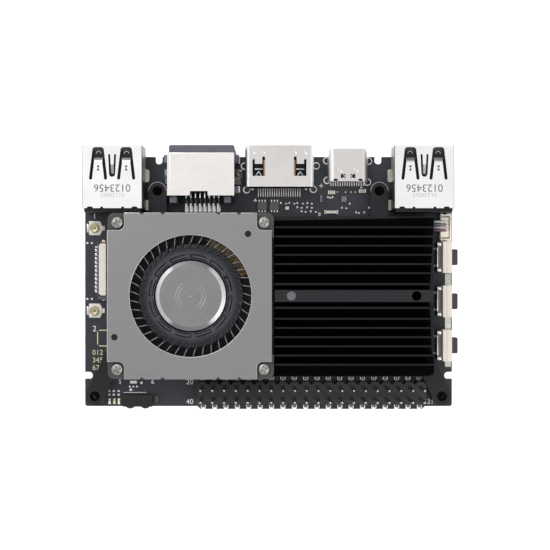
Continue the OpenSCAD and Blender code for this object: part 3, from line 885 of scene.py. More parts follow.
def paint(piece: Object, finish: Finish, test: FaceTest) -> None:
    """Gives some faces of a placed piece a second surface.

    Args:
        piece: the placed piece.
        finish: the second surface.
        test: takes a face's centre in millimetres and its normal.
    """
    piece.data.materials.append(finish.material())
    index = len(piece.data.materials) - 1
    for face in piece.data.polygons:
        if test(face.center / MM, face.normal):
            face.material_index = index


def in_hole(at: Vector, normal: Vector) -> bool:
    """Whether a face belongs to the wall of one of the four mounting holes."""
    reaches = [math.hypot(abs(at.x) - x, at.y - y) for x, y in HOLES]
    return abs(normal.z) < 0.95 and min(reaches) < HOLE_RADIUS + 0.15


def slot_cut(start: Pair, end: Pair, width: float, z0: float, z1: float) -> Object:
    """A cutter for a slot with round ends between two points."""
    cutter = bar("slot", start, end, width, z0, z1)
    return round_edges(cutter, UPWARD, width * 0.48, 5)


def pocket(span: Span, radius: float, where: PlaceTest = lambda middle: True) -> Object:
    """A cutter for an opening with rounded upright edges."""
    return round_edges(box("pocket", span), UPWARD, radius, 6, where)


def wall_arc(
    name: str, centre: Pair, start: Pair, thickness: float, angle: float, z0: float, z1: float
) -> Object:
    """An upright wall along an arc, spun clockwise from an upright face.

    Args:
        name: the object's name.
        centre: the arc's centre in plan.
        start: middle of the first face in plan.
        thickness: the wall's thickness.
        angle: the arc in degrees.
        z0, z1: the wall's heights.
    Returns:
        The wall.
    """
    lean = math.atan2(start[1] - centre[1], start[0] - centre[0])
    middle = Vector((start[0], start[1], (z0 + z1) / 2)) * MM
    bpy.ops.mesh.primitive_plane_add(size=1, location=middle, rotation=(math.pi / 2, 0, lean))
    bpy.context.object.scale = Vector((thickness, z1 - z0, 1)) * MM
    piece = settle(name)
    axis = Vector((centre[0], centre[1], 0)) * MM
    with editing(piece):
        bpy.ops.mesh.select_all(action="SELECT")
        steps = max(4, round(abs(angle) / 8))
        bpy.ops.mesh.spin(steps=steps, angle=math.radians(angle), center=axis, axis=UPWARD)
        face_outwards()
    return piece


def vane(name: str, points: Sequence[Pair], thickness: float, z0: float, z1: float) -> Object:
    """An upright blade: a thin box whose end face is extruded from point to point in plan.

    Args:
        name: the object's name.
        points: the blade's middle line in plan.
        thickness: its thickness.
        z0, z1: its heights.
    Returns:
        The blade.
    """
    (x0, y0), (x1, y1) = points[:2]
    piece = bar(name, points[0], points[1], thickness, z0, z1)
    steps = [(after[0] - before[0], after[1] - before[1], 0) for before, after in zip(points[1:], points[2:])]
    return extrude_along(piece, Vector((x1 - x0, y1 - y0, 0)).normalized(), steps)


def polar(centre: Pair, radius: float, degrees: float) -> Pair:
    """A point in plan from a centre, a radius and an angle."""
    turn = math.radians(degrees)
    return (centre[0] + radius * math.cos(turn), centre[1] + radius * math.sin(turn))


def tube(name: str, points: Sequence[Triple], radius: float) -> Object:
    """A round wire along a path of nine points.

    Args:
        name: the object's name.
        points: the path.
        radius: the wire's radius.
    Returns:
        A mesh.
    """
    bpy.ops.curve.primitive_nurbs_path_add()
    piece = bpy.context.object
    piece.location = (0, 0, 0)
    bpy.ops.object.mode_set(mode="EDIT")
    bpy.ops.curve.select_all(action="SELECT")
    bpy.ops.curve.subdivide(number_cuts=1)
    bpy.ops.object.mode_set(mode="OBJECT")
    spline = piece.data.splines[0]
    for point, at in zip(spline.points, points):
        point.co = (*(Vector(at) * MM), 1)
    spline.order_u = 3
    piece.data.bevel_depth = radius * MM
    piece.data.bevel_resolution = 4
    piece.data.resolution_u = 8
    piece.data.use_fill_caps = True
    bpy.ops.object.convert(target="MESH")
    return smooth(settle(name), 60)


def writing(name: str, text: str, x: float, y: float, height: float, z: float) -> Object:
    """A printed number, made a mesh that lies flat.

    Args:
        name: the object's name.
        text: the digits.
        x, y: the number's middle in plan.
        height: height of a digit.
        z: height of the ink's middle.
    Returns:
        The mesh.
    """
    bpy.ops.object.text_add(location=Vector((x, y, z)) * MM)
    piece = bpy.context.object
    piece.data.body = text
    piece.data.size = height * 1.4 * MM
    piece.data.extrude = 0.006 * MM
    piece.data.align_x = "CENTER"
    piece.data.align_y = "CENTER"
    bpy.ops.object.convert(target="MESH")
    return settle(name)


# ---------- the board ----------


@dataclass
class Board:
    """The black circuit board with its notches, prints and bare pads.

    Attributes:
        corner: radius of the corners.
        edge: distance of the upper and lower edges from the middle.
        notch: width of the notches in the upper edge.
        print_height: thickness of the white ink.
        rings: places of the solder rings round the shells' feet.
    """

    corner: float = 0.5
    edge: float = 27.85
    notch: float = 1.6
    print_height: float = 0.014
    rings: tuple[Pair, ...] = (
        (10.65, 25.85), (10.0, 20.6), (-4.9, 20.5), (-5.4, 25.8),
        (13.08, 22.6), (12.97, 27.0), (22.1, 22.2), (22.35, 26.9),
    )

    def __post_init__(self) -> None:
        """Reads the board's place."""
        self.span = region("board")
        self.top = self.span.z1

    def make(self) -> None:
        """Builds and dresses everything that is printed or etched."""
        self.plate()
        self.prints()
        self.pads()

    def plate(self) -> None:
        """The plate with its corners, notches, holes and half holes."""
        span = self.span
        sheet = Span(span.x0, span.x1, -self.edge, self.edge, span.z0, span.z1)
        plate = round_edges(box("board_plate", sheet), UPWARD, self.corner, 5)
        header = region("header_body")
        tab = Span(header.x0, header.x1, span.y0, -self.edge + 1, span.z0, span.z1)
        reach = -self.edge - span.y0
        beyond = round_edges(box("tab", tab), UPWARD, reach * 0.98, 1, lambda middle: middle.y < -self.edge)
        fuse(plate, beyond)
        low, high = span.z0 - 1, span.z1 + 1
        for side in SIDES:
            x = side * 24.5
            top = Span(x - self.notch / 2, x + self.notch / 2, self.edge - 1.65, self.edge + 1, low, high)
            carve(plate, pocket(top, 0.75, lambda middle: middle.y < self.edge))
            ends = sorted((side * 41, side * 39.6))
            flank = Span(ends[0] - 0.3, ends[1] + 0.3, -21.8, -20.2, low, high)
            inner = min(abs(flank.x0), abs(flank.x1))
            carve(plate, pocket(flank, 0.75, lambda middle: abs(abs(middle.x) - inner) < 0.01))
            for x, y in HOLES:
                carve(plate, drum("hole", side * x, y, low, high, HOLE_RADIUS))
        half = drum("half_hole", -14.58, span.y0, low, high, 0.45, 20)
        carve(plate, row(half, 20, (2.54, 0)))
        place(soften(plate, 0.04, 1), MASK, slot="board_mask", nodes=["board"])
        paint(plate, LAMINATE, lambda at, normal: abs(normal.z) < 0.3)
        # The walls of the mounting holes get near-black painted shade.
        paint(plate, PAINTED_SHADE_BLACK, in_hole)

    def prints(self) -> None:
        """White ink: lines, dots, pointers and plain numbers."""
        low, high = self.top, self.top + self.print_height
        lines = (
            ((-32.4, -24.8), (-27.3, -24.8)), ((11.3, 21.4), (12.24, 21.4)), ((11.77, 20.93), (11.77, 21.87)),
        )
        dots = [(x, y, 0.22) for y in (8.6, -3.9) for x in (-40.5, -39.5)]
        dots += [(20.75, 21.0, 0.22), (22.5, 16.5, 0.22), (-3.6, 20.65, 0.25), (8.4, 20.7, 0.25)]
        dots.append((-28.4, -22.65, 0.28))
        pointers = ((-30.8, -24.2, 0.5), (-2.96, 18.15, 0.5), (18.15, 17.4, 0.28))
        numbers = (
            ("40", -17.6, -26.9, 1.15), ("20", -17.6, -22.5, 1.15), ("21", 36.2, -26.9, 1.1),
            ("1", 36.2, -22.6, 1.1), ("1", -38.9, 14.7, 1.5), ("2", -38.9, -10.6, 1.3),
            ("5", -33.2, -22.45, 1.0), ("6", -25.9, -22.45, 1.0), ("8", 11.4, 15.0, 0.8),
        )
        marks = [bar("line", start, end, 0.15, low, high) for start, end in lines]
        marks += [drum("dot", x, y, low, high, radius, 20) for x, y, radius in dots]
        marks += [drum("pointer", x, y, low, high, size, 3) for x, y, size in pointers]
        middle = self.top + self.print_height / 2
        marks += [writing("number", text, x, y, height, middle) for text, x, y, height in numbers]
        place(join("board_print", marks), SILK, slot="board_mask")

    def flat(self, x: float, y: float, width: float, length: float) -> Object:
        """A bare pad."""
        return box("pad", around(x, y, width, length, self.top, self.top + 0.03))

    def pads(self) -> None:
        """Gold and tinned pads of the visible borders."""
        gold = []
        for x, y in HOLES:
            for side in SIDES:
                annulus = drum("land", side * x, y, self.top, self.top + 0.02, 1.75)
                gold.append(carve(annulus, drum("hole", side * x, y, 0, 3, HOLE_RADIUS)))
        high = self.top + 0.01
        for row_index, text in enumerate(("012", "345", "678")):
            gold.append(writing("number", text, -38.2, -15.9 - row_index * 1.7, 1.15, high))
        outline = (
            ((-36.0, -10.9), (-37.9, -10.9)),
            ((-38.2, -11.2), (-38.2, -14.1)),
            ((-37.9, -14.4), (-36.0, -14.4)),
        )
        for start, end in outline:
            gold.append(bar("outline", start, end, 0.22, self.top, self.top + 0.03))
        for y in (8.9, -3.9):
            gold.append(drum("via", -36.9, y, self.top, self.top + 0.03, 0.42, 20))
        place(group("gold_pads", gold, 0.008), GOLD, slot="contact_gold")
        tin = [self.flat(-30.2, -22.5, 1.5, 0.6)]
        for x in (-31.0, -30.2, -29.4):
            tin.append(drum("pad", x, -23.5, self.top, self.top + 0.04, 0.22, 16))
        for x in (-35.6, -34.6, -33.5):
            tin.append(self.flat(x, -24.5, 0.5, 0.4))
            tin.append(self.flat(x, -25.3, 0.5, 0.4))
        for x, y in self.rings:
            land = drum("land", x, y, self.top, self.top + 0.08, 0.82, 28)
            tin.append(carve(land, drum("well", x + 0.06, y, self.top - 1, self.top + 1, 0.6, 28)))
        for x, y, width, length in self.specks():
            tin.append(self.flat(x, y, width, length))
        place(group("tinned_pads", tin, 0.01), SOLDER, slot="pin_metal")


    def specks(self) -> Iterator[tuple[float, float, float, float]]:
        """Place and size of each small bare pad behind the sockets."""
        rows = (
            (17.5, (2.75, 3.95, 4.66, 5.8, 6.45, 7.72, 8.7, 9.68)),
            (16.55, (6.45, 7.4, 8.63, 9.68)),
            (15.65, (7.4, 8.3, 9.46, 10.61)),
            (18.8, (13.3, 13.8, 14.3)),
            (16.45, (16.4, 17.4)),
            (15.4, (19.6, 20.2, 21.4)),
        )
        for y, places in rows:
            for index, x in enumerate(places):
                tall = index % 2 == 0
                yield x, y + (0.06 if tall else -0.08), 0.3 if tall else 0.44, 0.46 if tall else 0.28


# ---------- the sockets ----------


@dataclass
class UsbPort:
    """A stacked port's plated shell, with its two sprung tongues and the slots round them.

    Attributes:
        side: which of the two ports it is, "left" or "right".
        sheet: thickness of the steel.
        spring_at: distance of a tongue from the port's middle.
    """

    side: str
    sheet: float = 0.3
    spring_at: float = 3.05

    def __post_init__(self) -> None:
        """Reads the shell's place."""
        self.span = region(f"usb_{self.side}_shell")
        self.front = self.span.y1
        self.top = self.span.z1

    def make(self) -> None:
        """Builds the shell, its springs and its solder tabs."""
        shell = self.shell()
        place(shell, BRIGHT_STEEL, slot="shell_steel", nodes=[f"usb_{self.side}_shell"])
        # The shell's side and back walls get painted shade.
        paint(shell, PORT_WALL_SHADE, lambda at, normal: abs(normal.x) > 0.6 or normal.y < -0.6)
        middles = [self.span.cx + side * self.spring_at for side in SIDES]
        pieces = (
            ("springs", [self.spring(x) for x in middles], VIDEO_STEEL),
            ("backs", [back for x in middles for back in self.backs(x)], SHADED_STEEL),
            ("curls", [*(self.curl(x) for x in middles), self.middle_spring()], CURL),
            ("stamps", [stamp for x in middles for stamp in self.dots(x)], SHADED_STEEL),
            ("number", [self.number("0123456", 9.25, 1.65)], STAMP),
            ("faint_number", [self.number("01234567", 10.8, 0.95)], FAINT_STAMP),
        )
        for name, made, finish in pieces:
            place(join(f"usb_{self.side}_{name}", made), finish, slot="shell_steel")
        place(self.tabs(), LUG_STEEL, slot="shell_steel")
        dress(f"usb_{self.side}_insulator", BLACK)
        dress(f"usb_{self.side}_contacts", SHADED_STEEL, 0)

    def shell(self) -> Object:
        """The folded box with its cuts."""
        span = self.span
        shell = round_edges(box(f"usb_{self.side}_case", span), NORTH, 0.3, 3)
        inside = Span(
            span.x0 + self.sheet, span.x1 - self.sheet, span.y0 + self.sheet, span.y1 + 1,
            span.z0 + self.sheet, span.z1 - self.sheet,
        )
        carve(shell, round_edges(box("room", inside), NORTH, 0.3, 4))
        low, high = self.top - 1, self.top + 1
        for side in SIDES:
            x = span.cx + side * self.spring_at
            for way in SIDES:
                start = (x + way * 0.87, self.front - 0.6)
                end = (x + way * 1.67, self.front - 7.5)
                carve(shell, slot_cut(start, end, 0.66, low, high))
            window = Span(x - 1.0, x + 1.0, self.front - 3.6, self.front - 0.43, low, high)
            carve(shell, pocket(window, 0.3, lambda middle: middle.y > self.front - 1))
        for way in SIDES:
            start = (span.cx + way * 0.65, self.front - 1.93)
            end = (span.cx + way * 0.44, self.front - 6.5)
            carve(shell, slot_cut(start, end, 0.42, low, high))
        gap = Span(span.cx - 0.55, span.cx + 0.55, self.front - 6.85, self.front - 4.2, low, high)
        carve(shell, pocket(gap, 0.4))
        for way in SIDES:
            for at, half in ((2.28, 0.32), (4.85, 0.62)):
                notch = around(span.cx + way * at, span.y0, half * 2, 0.7, low, high)
                carve(shell, pocket(notch, 0.28))
        self.side_slots(shell)
        return soften(shell, 0.07, 2)

    def side_slots(self, shell: Object) -> None:
        """Sprung tongues' slots in both side walls."""
        span = self.span
        for side in (span.x0, span.x1):
            for z in (span.z0 + 2.0, span.z0 + 5.0):
                for middle in (z - 0.6, z + 0.6):
                    low, high = middle - 0.2, middle + 0.2
                    cut = Span(side - 1, side + 1, self.front - 7.5, self.front - 1.2, low, high)
                    carve(shell, round_edges(box("slot", cut), EAST, 0.18, 4))

    def behind(self, *points: Pair) -> list[Pair]:
        """A path in the YZ plane from distances behind the front and heights below the top sheet's middle."""
        z = self.top - self.sheet / 2
        return [(self.front - back, z - down) for back, down in points]

    def spring(self, x: float) -> Object:
        """The bright upper part of a tongue, which bends down through its window."""
        path = self.behind((4.0, 0), (3.5, 0.02), (3.15, 0.16), (2.75, 0.2))
        return soften(strip("tongue", x, 1.8, path, 0.24), 0.03, 1)

    def backs(self, x: float) -> list[Object]:
        """The shaded lower part of a tongue, with its creases."""
        z = self.top - self.sheet / 2
        path = self.behind((2.9, 0.5), (2.6, 0.9), (1.4, 0.95), (0.35, 0.6))
        made = [soften(strip("tongue_back", x, 2.7, path, 0.2), 0.03, 1)]
        for at in (2.86, 3.12, 3.42):
            made.append(box("crease", around(x, self.front - at, 1.7, 0.09, z - 0.1, z + 0.13)))
        return made

    def dots(self, x: float) -> list[Object]:
        """Two stamped squares on the tongue."""
        low, high = self.top - 0.05, self.top + 0.015
        return [box("stamp", around(x, self.front - at, 0.44, 0.44, low, high)) for at in (4.62, 5.3)]

    def number(self, text: str, back: float, height: float) -> Object:
        """A stamped number, read from the back of the board."""
        half_turn = Matrix.Rotation(math.pi, 4, "Z")
        place_at = shift(self.span.cx, self.front - back, self.top + 0.006)
        flat = writing("number", text, 0, 0, height, 0)
        turned_piece = copied(flat, place_at @ half_turn)
        bpy.data.objects.remove(flat)
        return turned_piece

    def curl(self, x: float) -> Object:
        """The curled tip of a tongue."""
        centre = (x, self.front - 1.75)
        z = self.top - self.sheet
        return wall_arc("curl", centre, (x - 0.5, self.front - 1.75), 0.14, 180, z - 0.55, z - 0.35)

    def middle_spring(self) -> Object:
        """The narrow tongue between the two, held at the front."""
        path = self.behind((3.6, 0), (4.2, 0.02), (5.0, 0.22), (6.2, 0.55))
        return soften(strip("tongue", self.span.cx, 0.62, path, 0.24), 0.04, 2)

    def tabs(self) -> Object:
        """Feet at both sides that are soldered into the board."""
        span = self.span
        base = self.span.z0
        made = []
        for out in SIDES:
            x = span.cx + out * (span.cx - span.x0 + 0.25)
            for y, half in ((23.6, 1.45), (17.05, 1.2)):
                foot = box("tab", around(x, y, 1.07, half * 2, base - 0.05, base + 0.35))
                made.append(round_edges(foot, UPWARD, 0.5, 5))
        return group(f"usb_{self.side}_tabs", made, 0.06, 2)


@dataclass
class NetworkSocket:
    """The network socket: a folded shell on a grey housing with eight tails behind it.

    Attributes:
        half: half the width of its top.
        seam: where the steel ends and the grey front begins.
        pitch: distance between tails.
    """

    half: float = 7.1
    seam: float = 28.05
    pitch: float = 1.016

    def __post_init__(self) -> None:
        """Reads the parts' places."""
        self.body = region("ethernet_housing")
        self.span = region("ethernet_shell")
        self.x = self.span.cx
        self.top = self.span.z1

    def make(self) -> None:
        """Builds the housing, the shell, its tabs and the tails."""
        place(self.shell(), NET_STEEL, slot="shell_steel")
        housing = self.housing()
        place(housing, BLACK, slot="grey_plastic", nodes=["ethernet_housing"])
        paint(housing, PORT_GREY, lambda at, normal: at.y > self.seam - 0.01)
        place(self.tabs(), DULL_STEEL, slot="shell_steel")
        place(self.legs(), GREY, slot="grey_plastic")
        place(self.tails(), SOLDER, slot="contact_gold")
        dress("ethernet_shell", NET_STEEL, 0.05)
        dress("ethernet_contacts", SOLDER, 0)

    def shell(self) -> Object:
        """A top sheet over the CAD shell, with its folded shoulders and rear cut."""
        x0, x1 = self.x - self.half, self.x + self.half
        flat = Span(x0, x1, 18.72, self.seam, self.top - 0.28, self.top + 0.03)
        sheet = box("network_top", flat)
        round_edges(sheet, NORTH, 0.26, 2, lambda middle: middle.z > self.top)
        round_edges(sheet, EAST, 0.2, 2, lambda middle: middle.z > self.top)
        cut = Span(-17.0, -13.05, 18.0, 19.67, self.top - 1, self.top + 1)
        carve(sheet, pocket(cut, 0.25, lambda middle: middle.y > 19))
        return soften(sheet, 0.03, 2)

    def housing(self) -> Object:
        """The moulding: a grey front frame, a dark liner with its opening, and a low rear base."""
        body = self.body
        face = Span(self.x - self.half, self.x + self.half, self.seam, body.y1, body.z0, self.top)
        front = box("network_housing", face)
        round_edges(front, UPWARD, 0.4, 4, lambda middle: middle.y > 29)
        liner = Span(self.x - 6.7, self.x + 6.7, 19.0, 28.3, body.z0 + 0.4, self.top - 0.35)
        base = Span(self.x - 7.0, self.x + 7.0, 17.5, 19.3, BOARD_TOP, 2.6)
        fuse(front, box("liner", liner), box("base", base))
        high = body.y1 + 1
        carve(
            front,
            box("mouth", Span(self.x - 5.9, self.x + 5.9, 19.6, high, 0.6, 7.4)),
            box("clip", Span(self.x - 3.2, self.x + 3.2, 19.6, high, -0.9, 1.0)),
            box("latch", Span(self.x - 1.9, self.x + 1.9, 22.0, high, -2.0, 0.0)),
            box("rear", Span(self.x - 4.3, self.x + 4.3, 18.0, 19.55, 2.7, 9.0)),
        )
        return soften(front, 0.08, 2)

    def tabs(self) -> Object:
        """Side tabs of the shell with their raised rings."""
        made = []
        profile = ((0.78, 1.7), (0.78, 2.0), (0.5, 2.1), (0.3, 1.95))
        for side in SIDES:
            x = self.x + side * 7.85
            made.append(box("tab", around(x, 24.1, 1.7, 2.0, BOARD_TOP, 1.75)))
            made.append(turned("ring", (x + side * 0.1, 24.1), profile, 28))
            made.append(box("block", around(x - side * 0.1, 22.25, 1.3, 1.3, BOARD_TOP, 2.3)))
        return group("network_tabs", made, 0.07, 2)

    def legs(self) -> Object:
        """Grey plastic ears and rear legs."""
        spans = [
            Span(-21.7, -20.15, 17.3, 18.75, BOARD_TOP, 5.5),
            Span(-9.8, -8.3, 17.3, 18.75, BOARD_TOP, 5.5),
            Span(-7.8, -6.56, 26.3, 28.1, BOARD_TOP, 3.4),
            Span(-7.8, -6.7, 19.6, 21.2, BOARD_TOP, 3.0),
            Span(-23.2, -21.95, 26.3, 28.1, BOARD_TOP, 3.4),
            Span(-23.0, -21.95, 21.6, 22.9, BOARD_TOP, 3.0),
        ]
        return blocks("network_legs", spans, 0.12)

    def tails(self) -> Object:
        """Eight bent contacts between the housing's back and the board, soldered at their feet."""
        x = self.x + 0.06 - 3.5 * self.pitch
        down = [(19.45, 6.6), (18.3, 6.75), (17.95, 6.4), (17.4, 2.6)]
        path = [*down, (17.1, 1.45), (16.8, 1.34), (15.7, 1.34)]
        first = strip("network_tails", x, 0.27, path, 0.22)
        joint = round_edges(box("joint", around(x, 15.95, 0.36, 0.8, BOARD_TOP, 1.48)), UPWARD, 0.2, 3)
        return row(group("network_tails", [first, joint], 0.05), 8, (self.pitch, 0))


@dataclass
class VideoSocket:
    """The video socket's shell with its four cut springs.

    Attributes:
        sheet: thickness of the steel.
        inner, outer: distances of a pair's two cuts from the middle.
    """

    sheet: float = 0.3
    inner: float = 3.45
    outer: float = 5.63

    def __post_init__(self) -> None:
        """Reads the shell's place."""
        self.span = region("hdmi_shell")
        self.top = self.span.z1
        self.spring_at = (self.inner + self.outer) / 2

    def make(self) -> None:
        """Builds the shell, springs and tails."""
        place(self.shell(), VIDEO_STEEL, slot="shell_steel", nodes=["hdmi_shell"])
        place(self.springs(), CURL, slot="shell_steel")
        place(self.strips(), TAN, slot="contact_gold")
        place(self.tails(), TAIL, slot="pin_metal", nodes=["hdmi_contacts"])
        dress("hdmi_insulator", BLACK)

    def shell(self) -> Object:
        """The folded box with round shoulders."""
        span = self.span
        x = span.cx
        shell = round_edges(box("video_case", span), NORTH, 0.95, 7)
        inside = Span(span.x0 + 0.3, span.x1 - 0.3, span.y0 + 1.5, span.y1 + 1, span.z0 + 0.3, span.z1 - 0.3)
        carve(shell, round_edges(box("room", inside), NORTH, 0.45, 5))
        low, high = self.top - 1.4, self.top + 1
        for side in SIDES:
            for at, end, width in ((self.outer, 26.75, 0.5), (self.inner, 27.3, 0.6)):
                cut = x + side * at
                carve(shell, slot_cut((cut, 23.06), (cut, end), width, low, high))
            middle = x + side * self.spring_at
            carve(shell, box("gap", Span(middle - 1.1, middle + 1.1, 23.1, 25.7, low, high)))
            for at in (self.inner, self.outer):
                carve(shell, drum("dimple", x + side * at, 28.2, self.top - 0.1, self.top + 1, 0.27, 20))
        return soften(shell, 0.05, 2)

    def springs(self) -> Object:
        """A bent bar and a raised wedge between each pair of cuts."""
        x = self.span.cx
        z = self.top - self.sheet / 2
        made = []
        for side in SIDES:
            middle = x + side * self.spring_at
            path = [(24.45, z - 0.3), (24.7, z - 0.32), (24.8, z - 0.9)]
            made.append(strip("spring", middle, 1.7, path, 0.2))
            for way in SIDES:
                made.append(bar("wedge", (middle, 24.1), (middle + way * 0.6, 23.2), 0.24, z - 0.8, z - 0.4))
        return group("video_springs", made, 0.04, 2)

    def strips(self) -> Object:
        """The tan strips seen through the inner cuts."""
        middles = [self.span.cx + side * 3.32 for side in SIDES]
        spans = [around(x, 24.9, 0.26, 3.4, self.top - 1.1, self.top - 0.5) for x in middles]
        return blocks("video_strips", spans)

    def tails(self) -> Object:
        """Nineteen solder tails behind the shell."""
        first = box("video_tails", around(-2.25, 19.9, 0.24, 2.0, BOARD_TOP, 1.42))
        inner = box("contact", around(-2.25, 25.5, 0.22, 4.5, 4.05, 4.15))
        return row(group("video_tails", [first, inner], 0.05), 19, (0.515, 0))


@dataclass
class SmallUsb:
    """The small reversible power socket.

    Attributes:
        window_at: distance of its two windows from the middle, and their place along Y.
    """

    window_at: Pair = (1.07, 23.3)

    def __post_init__(self) -> None:
        """Reads the shell's place."""
        self.span = region("usb_c_shell")

    def make(self) -> None:
        """Builds the shell and tails."""
        place(self.shell(), VIDEO_STEEL, slot="shell_steel", nodes=["usb_c_shell"])
        first = box("usb_c_tails", around(13.95, 21.75, 0.25, 0.9, BOARD_TOP, 1.4))
        inner = box("contact", around(13.95, 26.5, 0.22, 3.6, 2.42, 2.5))
        tails = row(group("usb_c_tails", [first, inner], 0.04), 15, (0.52, 0))
        place(tails, TAIL, slot="pin_metal", nodes=["usb_c_contacts"])
        wedges = []
        for side in SIDES:
            for way in SIDES:
                at = (self.span.cx + side * self.window_at[0], self.window_at[1] + way * 0.42)
                tip = (at[0] - side * 0.45, self.window_at[1])
                wedges.append(bar("wedge", at, tip, 0.2, self.span.z1 - 0.75, self.span.z1 - 0.3))
        place(group("usb_c_springs", wedges, 0.03), TAIL, slot="shell_steel")
        dress("usb_c_insulator", BLACK)

    def shell(self) -> Object:
        """A drawn oval tube with windows and dimples."""
        span = self.span
        x, top = span.cx, span.z1
        shell = round_edges(box("usb_c_case", span), NORTH, (top - span.z0) * 0.46, 10)
        inner = Span(span.x0 + 0.25, span.x1 - 0.25, span.y0 + 0.8, span.y1 + 1, span.z0 + 0.25, top - 0.25)
        carve(shell, round_edges(box("room", inner), NORTH, (top - span.z0 - 0.5) * 0.46, 10))
        low, high = top - 0.8, top + 1
        for side in SIDES:
            window = around(x + side * self.window_at[0], self.window_at[1], 1.05, 0.9, low, high)
            carve(shell, pocket(window, 0.1))
            groove = drum("dimple", x + side * 1.78, 24.6, top - 0.09, high, 0.5, 24)
            carve(shell, groove)
            cut = around(x + side * 2.75, span.y0, 0.95, 1.1, low, high)
            carve(shell, pocket(cut, 0.3))
        return soften(shell, 0.04, 2)


@dataclass
class PinHeader:
    """The two-row pin header along the board's edge.

    Attributes:
        cells: pairs of pins.
        pitch: distance between them.
        pin: width of a square pin.
        tip: height of its point.
    """

    cells: int = 20
    pitch: float = 2.54
    pin: float = 0.64
    tip: float = 0.45

    def __post_init__(self) -> None:
        """Reads the header's place."""
        self.body = region("header_body")
        self.pins = region("header_pins")
        self.start = self.body.cx - self.pitch * (self.cells - 1) / 2

    def make(self) -> None:
        """Builds the moulding, then one pair of pins that is repeated."""
        place(self.moulding(), HEADER_BLACK, slot="black_plastic", nodes=["header_body"])
        pins = row(self.pin_pair(), self.cells, (self.pitch, 0))
        place(pins, HEADER_PIN, slot="pin_metal", nodes=["header_pins"])
        # The pins' flat tips get the brighter solder finish as a painted highlight.
        paint(pins, SOLDER, lambda at, normal: at.z > self.pins.z1 - 0.1 and normal.z > 0.9)
        feet = row(self.foot_joints(), self.cells, (self.pitch, 0))
        place(feet, SOLDER, slot="pin_metal")

    def moulding(self) -> Object:
        """The plastic bar with a notch between every two cells."""
        body = self.body
        bar_piece = box("header_plastic", body)
        for y in (body.y0, body.y1):
            notch = drum("notch", self.start - self.pitch / 2, y, body.z0 - 1, body.z1 + 1, 0.62, 4)
            carve(bar_piece, row(notch, self.cells + 1, (self.pitch, 0)))
        return soften(bar_piece, 0.06, 2)

    def pin_pair(self) -> Object:
        """Two square pins with pointed tips."""
        made = []
        for row_side in SIDES:
            y = self.body.cy + row_side * self.pitch / 2
            base = around(self.start, y, self.pin, self.pin, self.body.z0, self.pins.z1 - self.tip)
            made.append(self.pointed(box("pin", base), y))
            out = self.body.cy + row_side * 2.75
            made.append(box("foot", around(self.start, out, self.pin * 0.75, 1.4, 1.22, 1.4)))
        return group("header_pin_rows", made, 0.04)

    def pointed(self, pin: Object, y: float) -> Object:
        """Draws the pin's top face up into a tip."""
        pick_faces(pin, lambda centre, normal: normal.z > 0.9)
        top = (self.start * MM, y * MM, self.pins.z1 * MM)
        with reopened(pin):
            bpy.ops.mesh.extrude_region_move(TRANSFORM_OT_translate={"value": (0, 0, self.tip * MM)})
            bpy.ops.transform.resize(value=(0.5, 0.5, 1), center_override=top)
        return pin

    def foot_joints(self) -> Object:
        """The solder round each foot."""
        made = []
        for row_side in SIDES:
            y = self.body.cy + row_side * 3.05
            for way in SIDES:
                made.append(box("joint", around(self.start + way * 0.46, y, 0.22, 1.0, BOARD_TOP, 1.5)))
            made.append(box("joint", around(self.start, y - row_side * 0.32, 0.9, 0.24, BOARD_TOP, 1.46)))
        return group("header_joints", made, 0.06, 2)


# ---------- the edges ----------


@dataclass
class RibbonSocket:
    """The flat-cable socket with its flip-up latch.

    Attributes:
        contacts: outer solder joints.
        pitch: distance between them.
    """

    contacts: int = 11
    pitch: float = 0.91

    def __post_init__(self) -> None:
        """Reads the latch's place."""
        self.latch = region("ribbon_latch")

    def make(self) -> None:
        """Builds the latch and the outer solder joints and dresses the body."""
        span = self.latch
        flap = Span(span.x0 - 0.25, span.x1 - 0.12, span.y0, span.y1, span.z0, span.z1 + 0.05)
        latch = round_edges(box("latch_flap", flap), NORTH, 0.14, 3)
        for y in (span.y0, span.y1):
            carve(latch, box("step", around(flap.x0 + 0.1, y, 0.7, 0.5, 0, 5)))
        place(soften(latch, 0.04, 2), LATCH, "ribbon_latch", "cream_plastic", ["ribbon_latch"])
        joint = box("ribbon_joints", around(-38.5, 7.04, 0.62, 0.46, BOARD_TOP, 1.55))
        place(row(soften(joint, 0.14, 2), self.contacts, (0, -self.pitch)), SOLDER, slot="pin_metal")
        dress("ribbon_socket_body", PORT_GREY, 0.06)
        dress("ribbon_socket_contacts", SOLDER, 0)


@dataclass
class AntennaSockets:
    """Two round antenna sockets on their square pads, at their places in plan."""

    places: tuple[Pair, ...] = ((-38.9, 11.92), (-38.9, -6.52))

    def make(self) -> None:
        """Builds the turned ring, centre pin and feet of each."""
        rings, feet = [], []
        wall = ((1.0, BOARD_TOP), (1.0, 2.2), (0.92, 2.3), (0.78, 2.3), (0.76, 1.7))
        pin = ((0.3, 1.62), (0.2, 1.7), (0.16, 2.1))
        for x, y in self.places:
            rings.append(turned("ring", (x, y), (*wall, *pin), 40))
            for side in SIDES:
                feet.append(box("foot", around(x, y + side * 1.15, 2.4, 0.8, BOARD_TOP, 1.45)))
                feet.append(box("foot", around(x + side * 1.45, y, 0.5, 1.9, BOARD_TOP, 1.42)))
            feet.append(box("foot", around(x + 1.55, y, 0.8, 0.7, BOARD_TOP, 1.4)))
        pair = smooth(join("antenna_ring_pair", rings), 30)
        place(pair, PALE_RING, slot="contact_gold", nodes=["antenna_rings"])
        place(group("antenna_feet", feet, 0.06, 2), SOLDER, slot="pin_metal")
        dress("antenna_bases", WHITE_PLASTIC, 0.05)


